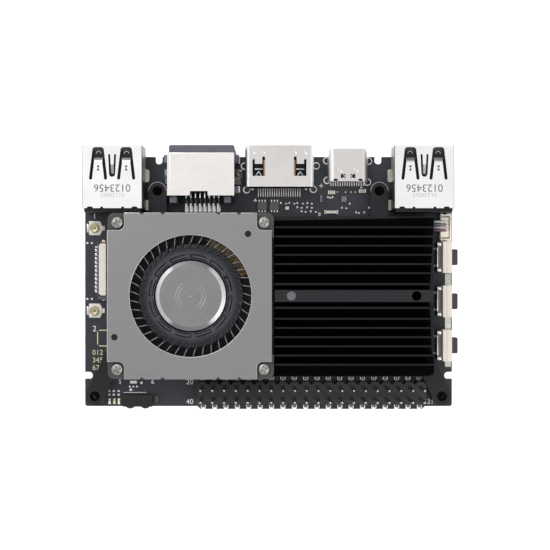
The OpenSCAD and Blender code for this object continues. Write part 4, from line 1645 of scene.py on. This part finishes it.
@dataclass
class FanLead:
    """The fan's socket, plug and four wires.

    Attributes:
        rows: place of each wire along Y.
        radius: radius of a wire.
    """

    rows: tuple[float, ...] = (11.45, 12.1, 12.75, 13.4)
    radius: float = 0.27

    def make(self) -> None:
        """Builds the socket, the plug and the wires that lie over it."""
        socket, plug = region("fan_socket"), region("fan_plug")
        shell = round_edges(box("lead_socket", socket), UPWARD, 0.25, 3)
        well = Span(
            socket.x0 - 1, socket.x1 - 0.35, socket.y0 + 0.55, socket.y1 - 0.55,
            socket.z0 + 0.6, socket.z1 + 1,
        )
        carve(shell, box("well", well))
        for y in (socket.y0, socket.y1):
            carve(shell, box("relief", around(socket.x0 + 0.9, y, 0.9, 0.4, 0, 5)))
        place(soften(shell, 0.07, 2), WHITE_PLASTIC, slot="cream_plastic", nodes=["fan_socket"])
        body = box("lead_plug", plug)
        for y in self.rows:
            carve(body, box("groove", around(plug.cx, y, 9, 0.4, plug.z1 - 0.2, plug.z1 + 1)))
        place(soften(body, 0.05, 2), WHITE_PLASTIC, slot="cream_plastic", nodes=["fan_plug"])
        for index, (y, finish) in enumerate(zip(self.rows, WIRES)):
            self.wire(index, y, finish)

    def wire(self, index: int, y: float, finish: Finish) -> None:
        """One wire from the fan down the heatsink's slot, out under the fins and over the plug."""
        low = 2.15
        slot = -8.0
        points = (
            (slot, y, 4.7), (slot, y, 3.4), (slot + 0.1, y, low + 0.1), (slot + 1.0, y, low), (10.0, y, low),
            (25.0, y, low), (36.4, y, low), (37.6, y - 0.1, low + 0.75), (39.5, y - 0.12, low + 0.5),
        )
        wire = tube(f"lead_wire_{index + 1}", points, self.radius)
        place(wire, finish, slot="wire_sleeve", nodes=["fan_wires"])


class Press(Enum):
    """The three side buttons and their bodies."""

    POWER = "power"
    FUNCTION = "function"
    RESET = "reset"


@dataclass
class SideSwitch:
    """A side switch: cream body, folded metal cover and grey plunger.

    Attributes:
        press: which of the three buttons it is.
    """

    press: Press

    def make(self) -> None:
        """Builds the three parts of the switch."""
        name = self.press.value
        span = region(f"{name}_switch_body")
        body = round_edges(box(f"{name}_body", span), UPWARD, 0.2, 3)
        for z in (span.z0, span.z1):
            carve(body, box("groove", Span(span.x0 + 0.7, span.x0 + 0.9, -40, 40, z - 0.12, z + 0.12)))
        place(soften(body, 0.06, 2), CREAM, slot="cream_plastic", nodes=[f"{name}_switch_body"])
        y = span.cy
        top = span.z1 - 0.3
        base = span.z0 + 0.15
        cover = box(f"{name}_cover", Span(37.35, 38.49, y - 3.3, y + 3.3, base, top))
        carve(cover, box("dip", Span(37.0, 38.25, y - 2.3, y + 2.3, top - 0.6, top + 1)))
        place(soften(cover, 0.06, 2), DULL_STEEL, slot="shell_steel", nodes=[f"{name}_switch_cover"])
        parts = [box("lip", Span(37.3, 37.5, y - 2.3, y + 2.3, base, top - 0.35))]
        for side in SIDES:
            parts.append(box("lug", around(37.7, y + side * 2.85, 0.85, 0.55, top - 0.1, top + 0.06)))
            parts.append(box("foot", around(37.0, y + side * 1.9, 0.5, 0.5, BOARD_TOP, 1.5)))
        place(group(f"{name}_cover_lugs", parts, 0.07, 2), TAIL, slot="shell_steel")
        self.plunger()

    def plunger(self) -> None:
        """The part that the finger presses, which moves with its own body."""
        name = self.press.value
        span = region(f"{name}_button")
        button = round_edges(box(f"{name}_plunger", span), UPWARD, 0.3, 4, lambda middle: middle.x > 40)
        place(soften(button, 0.05, 2), BUTTON, f"{name}_button", "button_plastic", [f"{name}_button"])


@dataclass
class EdgeLights:
    """Three status lights and the remote-control receiver."""

    def make(self) -> None:
        """Builds the lenses and the receiver's two domes."""
        y = -26.75
        for index, (x, finish) in enumerate(((-35.5, LENS), (-34.45, WARM_LENS), (-33.4, LENS))):
            base = box("light", around(x, y, 0.56, 1.25, BOARD_TOP, 1.55))
            top = turned("dome", (x, y), ((0.26, 1.45), (0.25, 1.65), (0.2, 1.8), (0.1, 1.86)), 24)
            piece = soften(fuse(base, top), 0.04, 2)
            piece.name = f"light_{index + 1}"
            place(piece, finish, slot="led_resin", nodes=["status_leds"])
        span = region("infrared_receiver")
        body = box("receiver_body", Span(span.x0, span.x1, span.y0, span.y1, span.z0, span.z0 + 0.9))
        turns = (0, 0.3, 0.6, 0.9, BOARD_TOP, 1.45)
        profile = [(1.4 * math.cos(turn), span.z0 + 0.3 + 0.55 * math.sin(turn)) for turn in turns]
        domes = [turned("dome", (x, span.y0 + 0.9), profile, 40) for x in (span.cx - 1.7, span.cx + 1.7)]
        piece = soften(fuse(body, *domes), 0.05, 2)
        place(piece, RECEIVER, slot="receiver_resin", nodes=["infrared_receiver"])


@dataclass
class SmallParts:
    """Loose components on the bare borders of the board.

    Attributes:
        arrays_at: middles of the two protection arrays along X.
        capacitors: place, width and length of each capacitor.
    """

    arrays_at: Pair = (-1.4, 1.32)
    capacitors: tuple[tuple[float, float, float, float], ...] = (
        (14.09, 19.9, 1.0, 0.85), (20.98, 20.2, 1.0, 0.85), (15.36, 19.95, 0.32, 0.36),
        (17.2, 19.95, 0.32, 0.36), (18.4, 19.95, 0.32, 0.36), (19.4, 19.95, 0.32, 0.36),
    )

    def make(self) -> None:
        """Builds the visible chips, capacitors and the solder at the switches."""
        arrays = [Span(x - 1.05, x + 1.05, 15.95, 17.8, BOARD_TOP, 1.75) for x in self.arrays_at]
        chips = blocks("protection_arrays", arrays, 0.06)
        place(chips, OLIVE_CHIP, slot="chip_resin", nodes=["small_parts_top"])
        legs = [
            around(x + step * 0.65, 16.88 + side * 1.15, 0.32, 0.5, BOARD_TOP, 1.4)
            for x in self.arrays_at for step in (-1, 0, 1) for side in SIDES
        ]
        place(blocks("array_legs", legs), SOLDER, slot="pin_metal")
        bodies, ends = [], []
        for x, y, width, length in self.capacitors:
            bodies.append(around(x, y, width, length, BOARD_TOP, 1.65))
            for side in SIDES:
                end = width * 0.32
                ends.append(around(x + side * (width + end) / 2, y, end, length + 0.05, BOARD_TOP, 1.68))
        place(blocks("capacitors", bodies), CERAMIC, slot="ceramic")
        place(blocks("capacitor_ends", ends, 0.06), SOLDER, slot="pin_metal")
        square = around(16.86, 18.37, 1.2, 1.3, BOARD_TOP, 1.8)
        narrow = around(11.77, 18.5, 0.55, 0.7, BOARD_TOP, 1.6)
        place(blocks("border_chips", [square, narrow], 0.05), PALE_CHIP, slot="chip_resin")
        crystals = [around(x, 15.5, 0.7, 1.05, BOARD_TOP, 1.5) for x in (12.75, 15.3)]
        crystals.append(around(14.02, 15.5, 2.6, 0.8, BOARD_TOP, 1.7))
        crystals.append(around(4.15, 16.39, 1.0, 0.9, BOARD_TOP, 1.6))
        crystals += [around(11.77, 18.5 + side * 0.55, 0.5, 0.35, BOARD_TOP, 1.5) for side in SIDES]
        place(blocks("crystals", crystals, 0.1), LUG_STEEL, slot="shell_steel")
        reaches = ((-1.0, 1.85), (-10.6, -7.9), (-19.1, -17.7))
        plates = [Span(39.35, 40.75, y0, y1, BOARD_TOP, 1.45) for y0, y1 in reaches]
        place(blocks("ground_plates", plates, 0.08), PLATE, slot="pin_metal")
        corner = around(-24.95, -26.2, 0.8, 1.5, BOARD_TOP, 1.75)
        place(blocks("corner_part", [corner], 0.05), RED_PART, slot="ceramic")


# ---------- cooling ----------


@dataclass
class Heatsink:
    """The black heatsink: plate, rib, fins and the four arms with their holes.

    Attributes:
        fin_y: the middle rib's place.
        rib: its width.
        first: distance from the rib to the place before the first fin.
        step: distance between fins.
        count: fins on each side of the rib, apart from the two that touch it.
        boss: radius of the round posts under the arms.
        left_blind, right_blind: places of the two round holes in the rib.
    """

    fin_y: float = -3.07
    rib: float = 2.58
    first: float = 2.93
    step: float = 1.98
    count: int = 6
    boss: float = 2.07
    left_blind: float = 4.98
    right_blind: float = 32.0

    def __post_init__(self) -> None:
        """Reads the heatsink's place."""
        self.span = region("heatsink")
        self.base = Span(-34.8, 36.5, -20.8, 14.4, 3.0, 4.8)

    def make(self) -> None:
        """Builds the whole extrusion as one skin, with near-black painted shade between the fins and in the
        mounting holes.
        """
        piece = self.plate()
        self.arms(piece)
        self.fins(piece)
        place(soften(piece, 0.12, 2), ANODISED, slot="anodised_black", nodes=["heatsink"])
        # Painted shade: near black in the gaps between the fins and on the walls of the mounting holes.
        paint(piece, PAINTED_SHADE_BLACK, self.between_fins)
        paint(piece, PAINTED_SHADE_BLACK, in_hole)
        paint(piece, FIN_TOP, lambda at, normal: at.z > self.span.z1 - 0.01)
        paint(piece, RIB_TOP, self.on_rib)
        # Half rings on the upper arms' ends in a lighter finish: a painted glint.
        x, y = UPPER_HOLE
        high = self.base.z1
        glints = [
            wall_arc("edge_light", (side * x, y), (side * x - 1.92, y), 0.12, 180, high - 0.1, high + 0.012)
            for side in SIDES
        ]
        place(join("arm_edge_glints", glints), ARM_GLINT, slot="anodised_black")
        profile = ((1.03, 9.7), (1.03, 10.25), (0.92, 10.36), (0.3, 10.38))
        pin = smooth(turned("spring_pin", (self.left_blind, self.fin_y), profile, 40), 30)
        place(pin, PIN_STEEL, slot="screw_steel", nodes=["heatsink_pin"])

    def on_rib(self, at: Vector, normal: Vector) -> bool:
        """Whether a face lies on top of the middle rib."""
        return at.z > self.span.z1 - 0.2 and abs(at.y - self.fin_y) < self.rib / 2

    def between_fins(self, at: Vector, normal: Vector) -> bool:
        """Whether a face lies in the gaps between the fins."""
        in_plan = 1.0 < at.x < 36.0 and -20.3 < at.y < 14.0
        return in_plan and self.base.z1 - 0.1 < at.z < self.span.z1 - 0.01

    def plate(self) -> Object:
        """The base plate with its wire slot."""
        plate = round_edges(box("heatsink_body", self.base), UPWARD, 1.0, 6)
        carve(plate, pocket(Span(-9.2, -6.8, 10.6, 14.1, 2, 6), 0.8))
        return plate

    def arms(self, piece: Object) -> None:
        """Two straight arms above and two slanted ones below, with bosses and holes."""
        low, high = self.base.z0, self.base.z1
        for side in SIDES:
            top = (side * UPPER_HOLE[0], UPPER_HOLE[1])
            corner = (side * LOWER_HOLE[0], LOWER_HOLE[1])
            parts = [
                box("arm", Span(top[0] - 2.0, top[0] + 2.0, 13.5, top[1], low, high)),
                drum("boss", *top, BOARD_TOP, high, self.boss),
                bar("arm", (side * 34.2, -16.6), corner, 4.0, low, high),
                drum("boss", *corner, BOARD_TOP, high, self.boss),
            ]
            fuse(piece, *parts)
            carve(piece, *(drum("hole", *at, 0, 6, HOLE_RADIUS) for at in (top, corner)))

    def fins(self, piece: Object) -> None:
        """The middle rib and the thin fins at both sides of it."""
        x0, x1 = 1.41, 35.6
        low, high = self.base.z1 - 0.3, self.span.z1
        fins = [(self.fin_y, self.rib / 2)]
        for side in SIDES:
            fins.append((self.fin_y + side * 2.56, 0.22))
            for index in range(1, self.count + 1):
                fins.append((self.fin_y + side * (self.first + self.step * index), 0.18))
        parts = [Span(x0, x1, middle - half, middle + half, low, high) for middle, half in fins]
        fuse(piece, *(box("fin", part) for part in parts))
        blinds = ((self.left_blind, 8.6), (self.right_blind, 6.6))
        carve(piece, *(drum("blind", x, self.fin_y, bottom, 12, 1.05) for x, bottom in blinds))


@dataclass
class Fan:
    """The blower: frame, brushed cover, screws, impeller and rotor.

    Attributes:
        centre: the impeller's axis in plan.
        half: half the width of the square frame.
        inlet: radius of the round inlet.
        screw_at: distance of the screws from the axis, along X and along Y.
        blades: how many blades there are.
        pockets: how many pockets the hub has.
        spots: places of the cover's two small holes.
        floor: thickness of the frame's floor.
        scroll: radius of the room round the impeller.
        tube_radius: radius of the bearing's tube.
        bearing: radius of the bore in it.
    """

    centre: Pair = FAN_AXIS
    half: float = 18.0
    inlet: float = 13.15
    screw_at: float = 15.85
    blades: int = 41
    pockets: int = 12
    spots: tuple[Pair, ...] = ((-4.37, 10.33), (-33.2, -11.97))
    floor: float = 0.6
    scroll: float = 16.3
    tube_radius: float = 2.3
    bearing: float = 1.6

    def __post_init__(self) -> None:
        """Reads the parts' places."""
        self.frame = region("fan_frame")
        self.cover = region("fan_cover")
        self.rotor = region("rotor_cap")
        self.wheel = region("impeller")

    def make(self) -> None:
        """Builds every part of the blower."""
        place(self.cover_sheet(), COVER, slot="cover_aluminium", nodes=["fan_cover"])
        place(self.plugs(), BLADE, slot="fan_plastic")
        place(self.frame_body(), FAN_PLASTIC, slot="fan_plastic", nodes=["fan_frame"])
        place(self.screws(), SCREW, slot="screw_steel", nodes=["fan_screws"])
        hub = self.hub()
        place(hub, HUB, "impeller", "impeller_plastic", ["impeller"])
        # The floors and walls of the hub's pockets and grooves get near-black painted shade.
        paint(hub, PAINTED_SHADE_BLACK, lambda at, normal: at.z < 9.2 and self.reach(at) < 9.4 and normal.z > -0.1)
        blades = self.blade_ring()
        place(blades, BLADE, "impeller", "impeller_plastic", ["impeller"])
        # The blades' top faces beyond r 11.2 get a painted highlight.
        paint(blades, BLADE_GLINT, lambda at, normal: normal.z > 0.5 and self.reach(at) > 11.2)
        place(self.ribs(), ROOT, "impeller", "impeller_plastic")
        place(self.cap(), ROTOR, "impeller", "rotor_steel", ["rotor_cap"])
        place(self.traces(), TRACE, slot="circuit_film")
        for node, finish in (
            ("rotor_magnet", PIN_STEEL), ("rotor_shaft", PIN_STEEL), ("fan_bearing", GOLD),
            ("stator_core", PIN_STEEL), ("stator_coils", COPPER), ("fan_circuit", AMBER),
        ):
            dress(node, finish, 0.04)

    def cover_sheet(self) -> Object:
        """The thin cover with its inlet, corner cut-outs and edge notches."""
        x, y = self.centre
        span = self.cover
        sheet = round_edges(box("cover_sheet", span), UPWARD, 0.5, 4)
        low, high = span.z0 - 1, span.z1 + 1
        carve(sheet, drum("inlet", x, y, low, high, self.inlet, 128))
        for side_x in SIDES:
            for side_y in SIDES:
                corner_x, corner_y = x + side_x * self.half, y + side_y * self.half
                inner_x, inner_y = corner_x - side_x * 3.66, corner_y - side_y * 3.8
                across = sorted((inner_x, corner_x + side_x))
                along = sorted((inner_y, corner_y + side_y))
                cut = Span(*across, *along, low, high)
                carve(sheet, pocket(cut, 1.3, self.near((inner_x, inner_y))))
            for side_y in SIDES:
                for at in (6.0, 10.5):
                    notch = drum("notch", x + side_x * at, y + side_y * (self.half + 0.2), low, high, 0.75, 4)
                    carve(sheet, notch)
        for spot in self.spots:
            carve(sheet, drum("spot", *spot, low, high, 0.7, 32))
        self.bevel_rim(sheet, 0.2, lambda at: abs(self.reach(at) - self.inlet) < 0.05)
        self.bevel_rim(sheet, 0.16, lambda at: at.x < span.x0 + 0.05 or at.y > span.y1 - 0.05)
        self.bevel_rim(sheet, 0.12, self.beside_ear)
        return soften(sheet, 0.07, 2)

    def beside_ear(self, at: Vector) -> bool:
        """Whether a point lies on the edge of a corner cut-out."""
        over_x = abs(at.x - self.centre[0]) - (self.half - 3.9)
        over_y = abs(at.y - self.centre[1]) - (self.half - 4.0)
        return over_x > 0 and over_y > 0 and (over_x < 0.4 or over_y < 0.4 or self.reach(at) < 20.9)

    def frame_body(self) -> Object:
        """The black frame: scroll, outlet, bearing tube and four lower ears with screw holes."""
        x, y = self.centre
        low, high = self.frame.z0, self.cover.z0
        floor = low + self.floor
        span = Span(x - self.half, x + self.half, y - self.half, y + self.half, low, high)
        frame = round_edges(box("fan_frame_body", span), UPWARD, 1.4, 5)
        carve(frame, drum("scroll", x, y, floor, high + 1, self.scroll, 96))
        carve(frame, box("outlet", Span(x, x + self.half + 1, y - 12.6, y + 12.6, floor, high + 1)))
        fuse(frame, drum("tube", x, y, low, floor + 2.6, self.tube_radius, 48))
        carve(frame, drum("bore", x, y, low + 0.4, high, self.bearing, 40))
        for side_x in SIDES:
            for side_y in SIDES:
                ear = around(x + side_x * self.half, y + side_y * self.half, 7.2, 7.2, high - 0.6, high + 1)
                carve(frame, box("ear", ear))
                at = (x + side_x * self.screw_at, y + side_y * self.screw_at)
                carve(frame, drum("screw_hole", *at, low - 1, high + 1, 0.9, 24))
        return soften(frame, 0.08, 2)

    def plugs(self) -> Object:
        """Dark plugs in the cover's two round holes."""
        return group("cover_plugs", [drum("plug", *spot, 9.4, 9.78, 0.69, 32) for spot in self.spots])

    def bevel_rim(self, sheet: Object, width: float, where: PlaceTest) -> None:
        """Bevels the upper edges of the cover that pass a test of their middle."""
        top = self.cover.z1
        pick_edges(sheet, lambda middle, run: middle.z > top - 0.001 and abs(run.z) < 0.01 and where(middle))
        bevel_picked(sheet, width, 2)

    def near(self, place_xy: Pair) -> PlaceTest:
        """A test for edges close to one place in plan."""
        return lambda middle: abs(middle.x - place_xy[0]) < 0.1 and abs(middle.y - place_xy[1]) < 0.1

    def screws(self) -> Object:
        """Four round-headed screws with cross recesses."""
        x, y = self.centre[0] - self.screw_at, self.centre[1] - self.screw_at
        head = turned(
            "cover_screws", (x, y),
            ((1.27, 9.1), (1.27, 9.45), (1.2, 9.62), (1.0, 9.78), (0.7, 9.87), (0.3, 9.9)), 40,
        )
        for turn in (0.35, 0.35 + math.pi / 2):
            dx, dy = 0.8 * math.cos(turn), 0.8 * math.sin(turn)
            carve(head, bar("cross", (x - dx, y - dy), (x + dx, y + dy), 0.42, 9.35, 11))
        return ring(soften(head, 0.03, 1), self.centre, 4)

    def reach(self, at: Vector) -> float:
        """Distance of a point from the fan's axis."""
        return math.hypot(at.x - self.centre[0], at.y - self.centre[1])

    def hub(self) -> Object:
        """The impeller's ring with arc-shaped pockets in its top."""
        wheel = self.wheel
        profile = (
            (8.4, wheel.z0), (10.3, wheel.z0), (10.35, 8.1), (11.2, 8.15), (11.2, 8.4), (10.3, 8.8),
            (9.5, wheel.z1 - 0.05), (9.4, wheel.z1), (9.2, wheel.z1), (9.12, 9.3), (8.1, 9.3), (7.95, 9.2),
        )
        hub = turned("impeller_hub", self.centre, profile, 96)
        carve(hub, drum("bore", *self.centre, 5, 12, 7.82, 96))
        x, y = self.centre
        cuts = [wall_arc("pocket", self.centre, (x + 8.55, y), 0.5, 20, 9.22, 10)]
        inner, outer = 8.22, 8.95
        for reach, turn in ((inner, 25), (outer, 23)):
            cuts.append(wall_arc("groove", self.centre, (x + reach, y), 0.17, turn, 8.9, 10))
        cuts.append(bar("end", (x + inner, y), (x + outer, y), 0.17, 8.95, 10))
        for cut in cuts:
            carve(hub, ring(cut, self.centre, self.pockets))
        return soften(hub, 0.03, 1, 30)

    def blade_ring(self) -> Object:
        """The forward-swept blades."""
        low, top = self.wheel.z0 + 0.15, 8.65
        bends = ((15.3, -3.6), (14.2, -1.9), (13.1, 0.0), (12.0, 1.7), (11.0, 3.75), (10.2, 6.6))
        points = [polar(self.centre, radius, turn) for radius, turn in bends]
        blade = vane("impeller_blades", points, 0.19, low, top)
        return ring(soften(blade, 0.02, 1, 60), self.centre, self.blades)

    def ribs(self) -> Object:
        """The thick roots of the blades, which climb the hub's slope."""
        bends = ((11.45, 2.6), (10.9, 4.4), (10.2, 7.6), (9.6, 12.0))
        points = [polar(self.centre, radius, turn) for radius, turn in bends]
        root = vane("impeller_roots", points, 0.78, 8.2, 9.05)
        return ring(soften(root, 0.2, 3, 60), self.centre, self.blades)

    def traces(self) -> Object:
        """Conductors and solder on the amber film that shows between the blades."""
        film = region("fan_circuit")
        top = film.z1
        made = []
        arcs = ((11.5, 70, 46), (11.9, 74, 34), (12.3, 72, 26), (12.7, 76, 44), (13.1, 70, 30))
        for radius, turn, sweep in arcs:
            start = polar(self.centre, radius, turn)
            made.append(wall_arc("trace", self.centre, start, 0.17, sweep, top, top + 0.05))
        for radius, turn in ((12.3, 39), (11.8, 23), (12.6, 30)):
            spot = polar(self.centre, radius, turn)
            made.append(turned("joint", spot, ((0.5, top), (0.45, top + 0.2), (0.2, top + 0.4)), 20))
        return group("film_traces", made, 0.02)

    def cap(self) -> Object:
        """The turned rotor cap with its engraved rings and a bevel that gets a painted highlight."""
        rotor = self.rotor
        top = rotor.z1
        groove = top - 0.015
        profile = (
            (7.75, rotor.z0), (7.75, top - 0.75), (7.6, top - 0.5), (6.75, top),
            (3.26, top), (3.23, groove), (3.17, groove), (3.14, top),
            (2.58, top), (2.55, groove), (2.49, groove), (2.46, top),
            (0.25, top), (0.2, top - 0.03), (0.05, top - 0.03),
        )
        return smooth(turned("rotor_disc", self.centre, profile, 128), 12)


@dataclass
class Inside:
    """Hidden and underside nodes that keep their CAD shape."""

    def make(self) -> None:
        """Dresses each node."""
        for node in ("processor", "memory_chips", "power_chips"):
            dress(node, CHIP, 0.05)
        dress("wireless_module", LUG_STEEL, 0.08)
        dress("thermal_pads", PAD, 0.05)
        dress("switch_domes", LUG_STEEL, 0)
        dress("m2_socket", BLACK, 0.05)
        dress("card_socket", LUG_STEEL, 0.05)
        dress("small_parts_bottom", CHIP, 0.04)


# ---------- the studio ----------


@dataclass
class Studio:
    """The camera above the board, even light and a white floor.

    Attributes:
        camera_at: the camera's place.
        lens: its focal length.
        floor_z: height of the floor.
        paper: how light the floor is.
        glow: how much light the floor gives, so that it stays pure white.
        sky_strength: strength of the light from all sides.
    """

    camera_at: Triple = (1.453, 1.453, 251.2)
    lens: float = 73.18
    floor_z: float = -3.0
    paper: float = 0.9
    glow: float = 0.5
    sky_strength: float = 0.97

    def camera(self) -> None:
        """A camera that looks straight down."""
        bpy.ops.object.camera_add(location=Vector(self.camera_at) * MM, rotation=(0, 0, 0))
        camera = bpy.context.object
        camera.data.lens = self.lens
        camera.data.sensor_width = 36
        camera.data.clip_start = 0.01
        camera.data.dof.use_dof = False
        bpy.context.scene.camera = camera

    def surroundings(self) -> None:
        """World light, lamps, view settings and the floor."""
        scene = bpy.context.scene
        scene.view_settings.view_transform = "Standard"
        world = bpy.data.worlds.new("studio_world")
        scene.world = world
        world.use_nodes = True
        graph = Graph(world.node_tree, "Background")
        way = graph.add("SeparateXYZ", {0: graph.add("TexCoord", {}).outputs["Generated"]})
        sky = graph.fade(way.outputs["Z"], ((0.0, (1.0, 1.0, 1.0)), (1.0, (0.95, 0.95, 0.96))))
        graph.surface({"Color": sky, "Strength": self.sky_strength})
        self.lamp("key_lamp", (-250, 300, 420), 300, 1.2)
        self.lamp("fill_lamp", (320, -200, 380), 300, 0.7)
        self.floor()

    def lamp(self, name: str, at: Triple, size: float, power: float) -> None:
        """A square soft light that points at the board."""
        turn = (-Vector(at)).to_track_quat("-Z", "Y").to_euler()
        bpy.ops.object.light_add(type="AREA", location=Vector(at) * MM, rotation=turn)
        lamp = bpy.context.object
        lamp.name = name
        lamp.data.size = size * MM
        lamp.data.energy = power

    def floor(self) -> None:
        """The white floor."""
        bpy.ops.mesh.primitive_plane_add(size=3, location=(0, 0, self.floor_z * MM))
        floor = bpy.context.object
        floor.name = "floor"
        paper = bpy.data.materials.new("paper")
        paper.use_nodes = True
        self.shade_paper(Graph(paper.node_tree))
        floor.data.materials.append(paper)

    def shade_paper(self, graph: Graph) -> None:
        """White paper with a painted shadow just under the four mounting holes, where no light comes."""
        position = graph.add("SeparateXYZ", {0: graph.add("NewGeometry", {}).outputs["Position"]})
        across = graph.calc("ABSOLUTE", position.outputs["X"])
        point = graph.add("CombineXYZ", {"X": across, "Y": position.outputs["Y"]}).outputs[0]
        spots = [{0: point, 1: (x * MM, y * MM, 0)} for x, y in HOLES]
        reaches = [graph.add("VectorMath", spot, operation="DISTANCE").outputs["Value"] for spot in spots]
        nearest = graph.calc("MINIMUM", *reaches)
        light = graph.ranged(nearest, 1.6 * MM, 1.9 * MM, 0.004, self.paper)
        graph.surface({
            "Base Color": light,
            "Roughness": 0.9,
            "Specular IOR Level": 0.0,
            "Emission Color": (1, 1, 1, 1),
            "Emission Strength": graph.calc("MULTIPLY", light, self.glow / self.paper),
        })


def main() -> None:
    """Builds the computer from its border inwards."""
    logging.basicConfig(level=logging.INFO, format="%(name)s %(message)s")
    studio = Studio()
    studio.camera()
    Board().make()
    for side in ("left", "right"):
        UsbPort(side).make()
    for part in (NetworkSocket(), VideoSocket(), SmallUsb(), PinHeader(), RibbonSocket()):
        part.make()
    for part in (AntennaSockets(), FanLead()):
        part.make()
    for press in Press:
        SideSwitch(press).make()
    for part in (EdgeLights(), SmallParts(), Heatsink(), Fan(), Inside()):
        part.make()
    studio.surroundings()


if __name__ == "__main__":
    main()
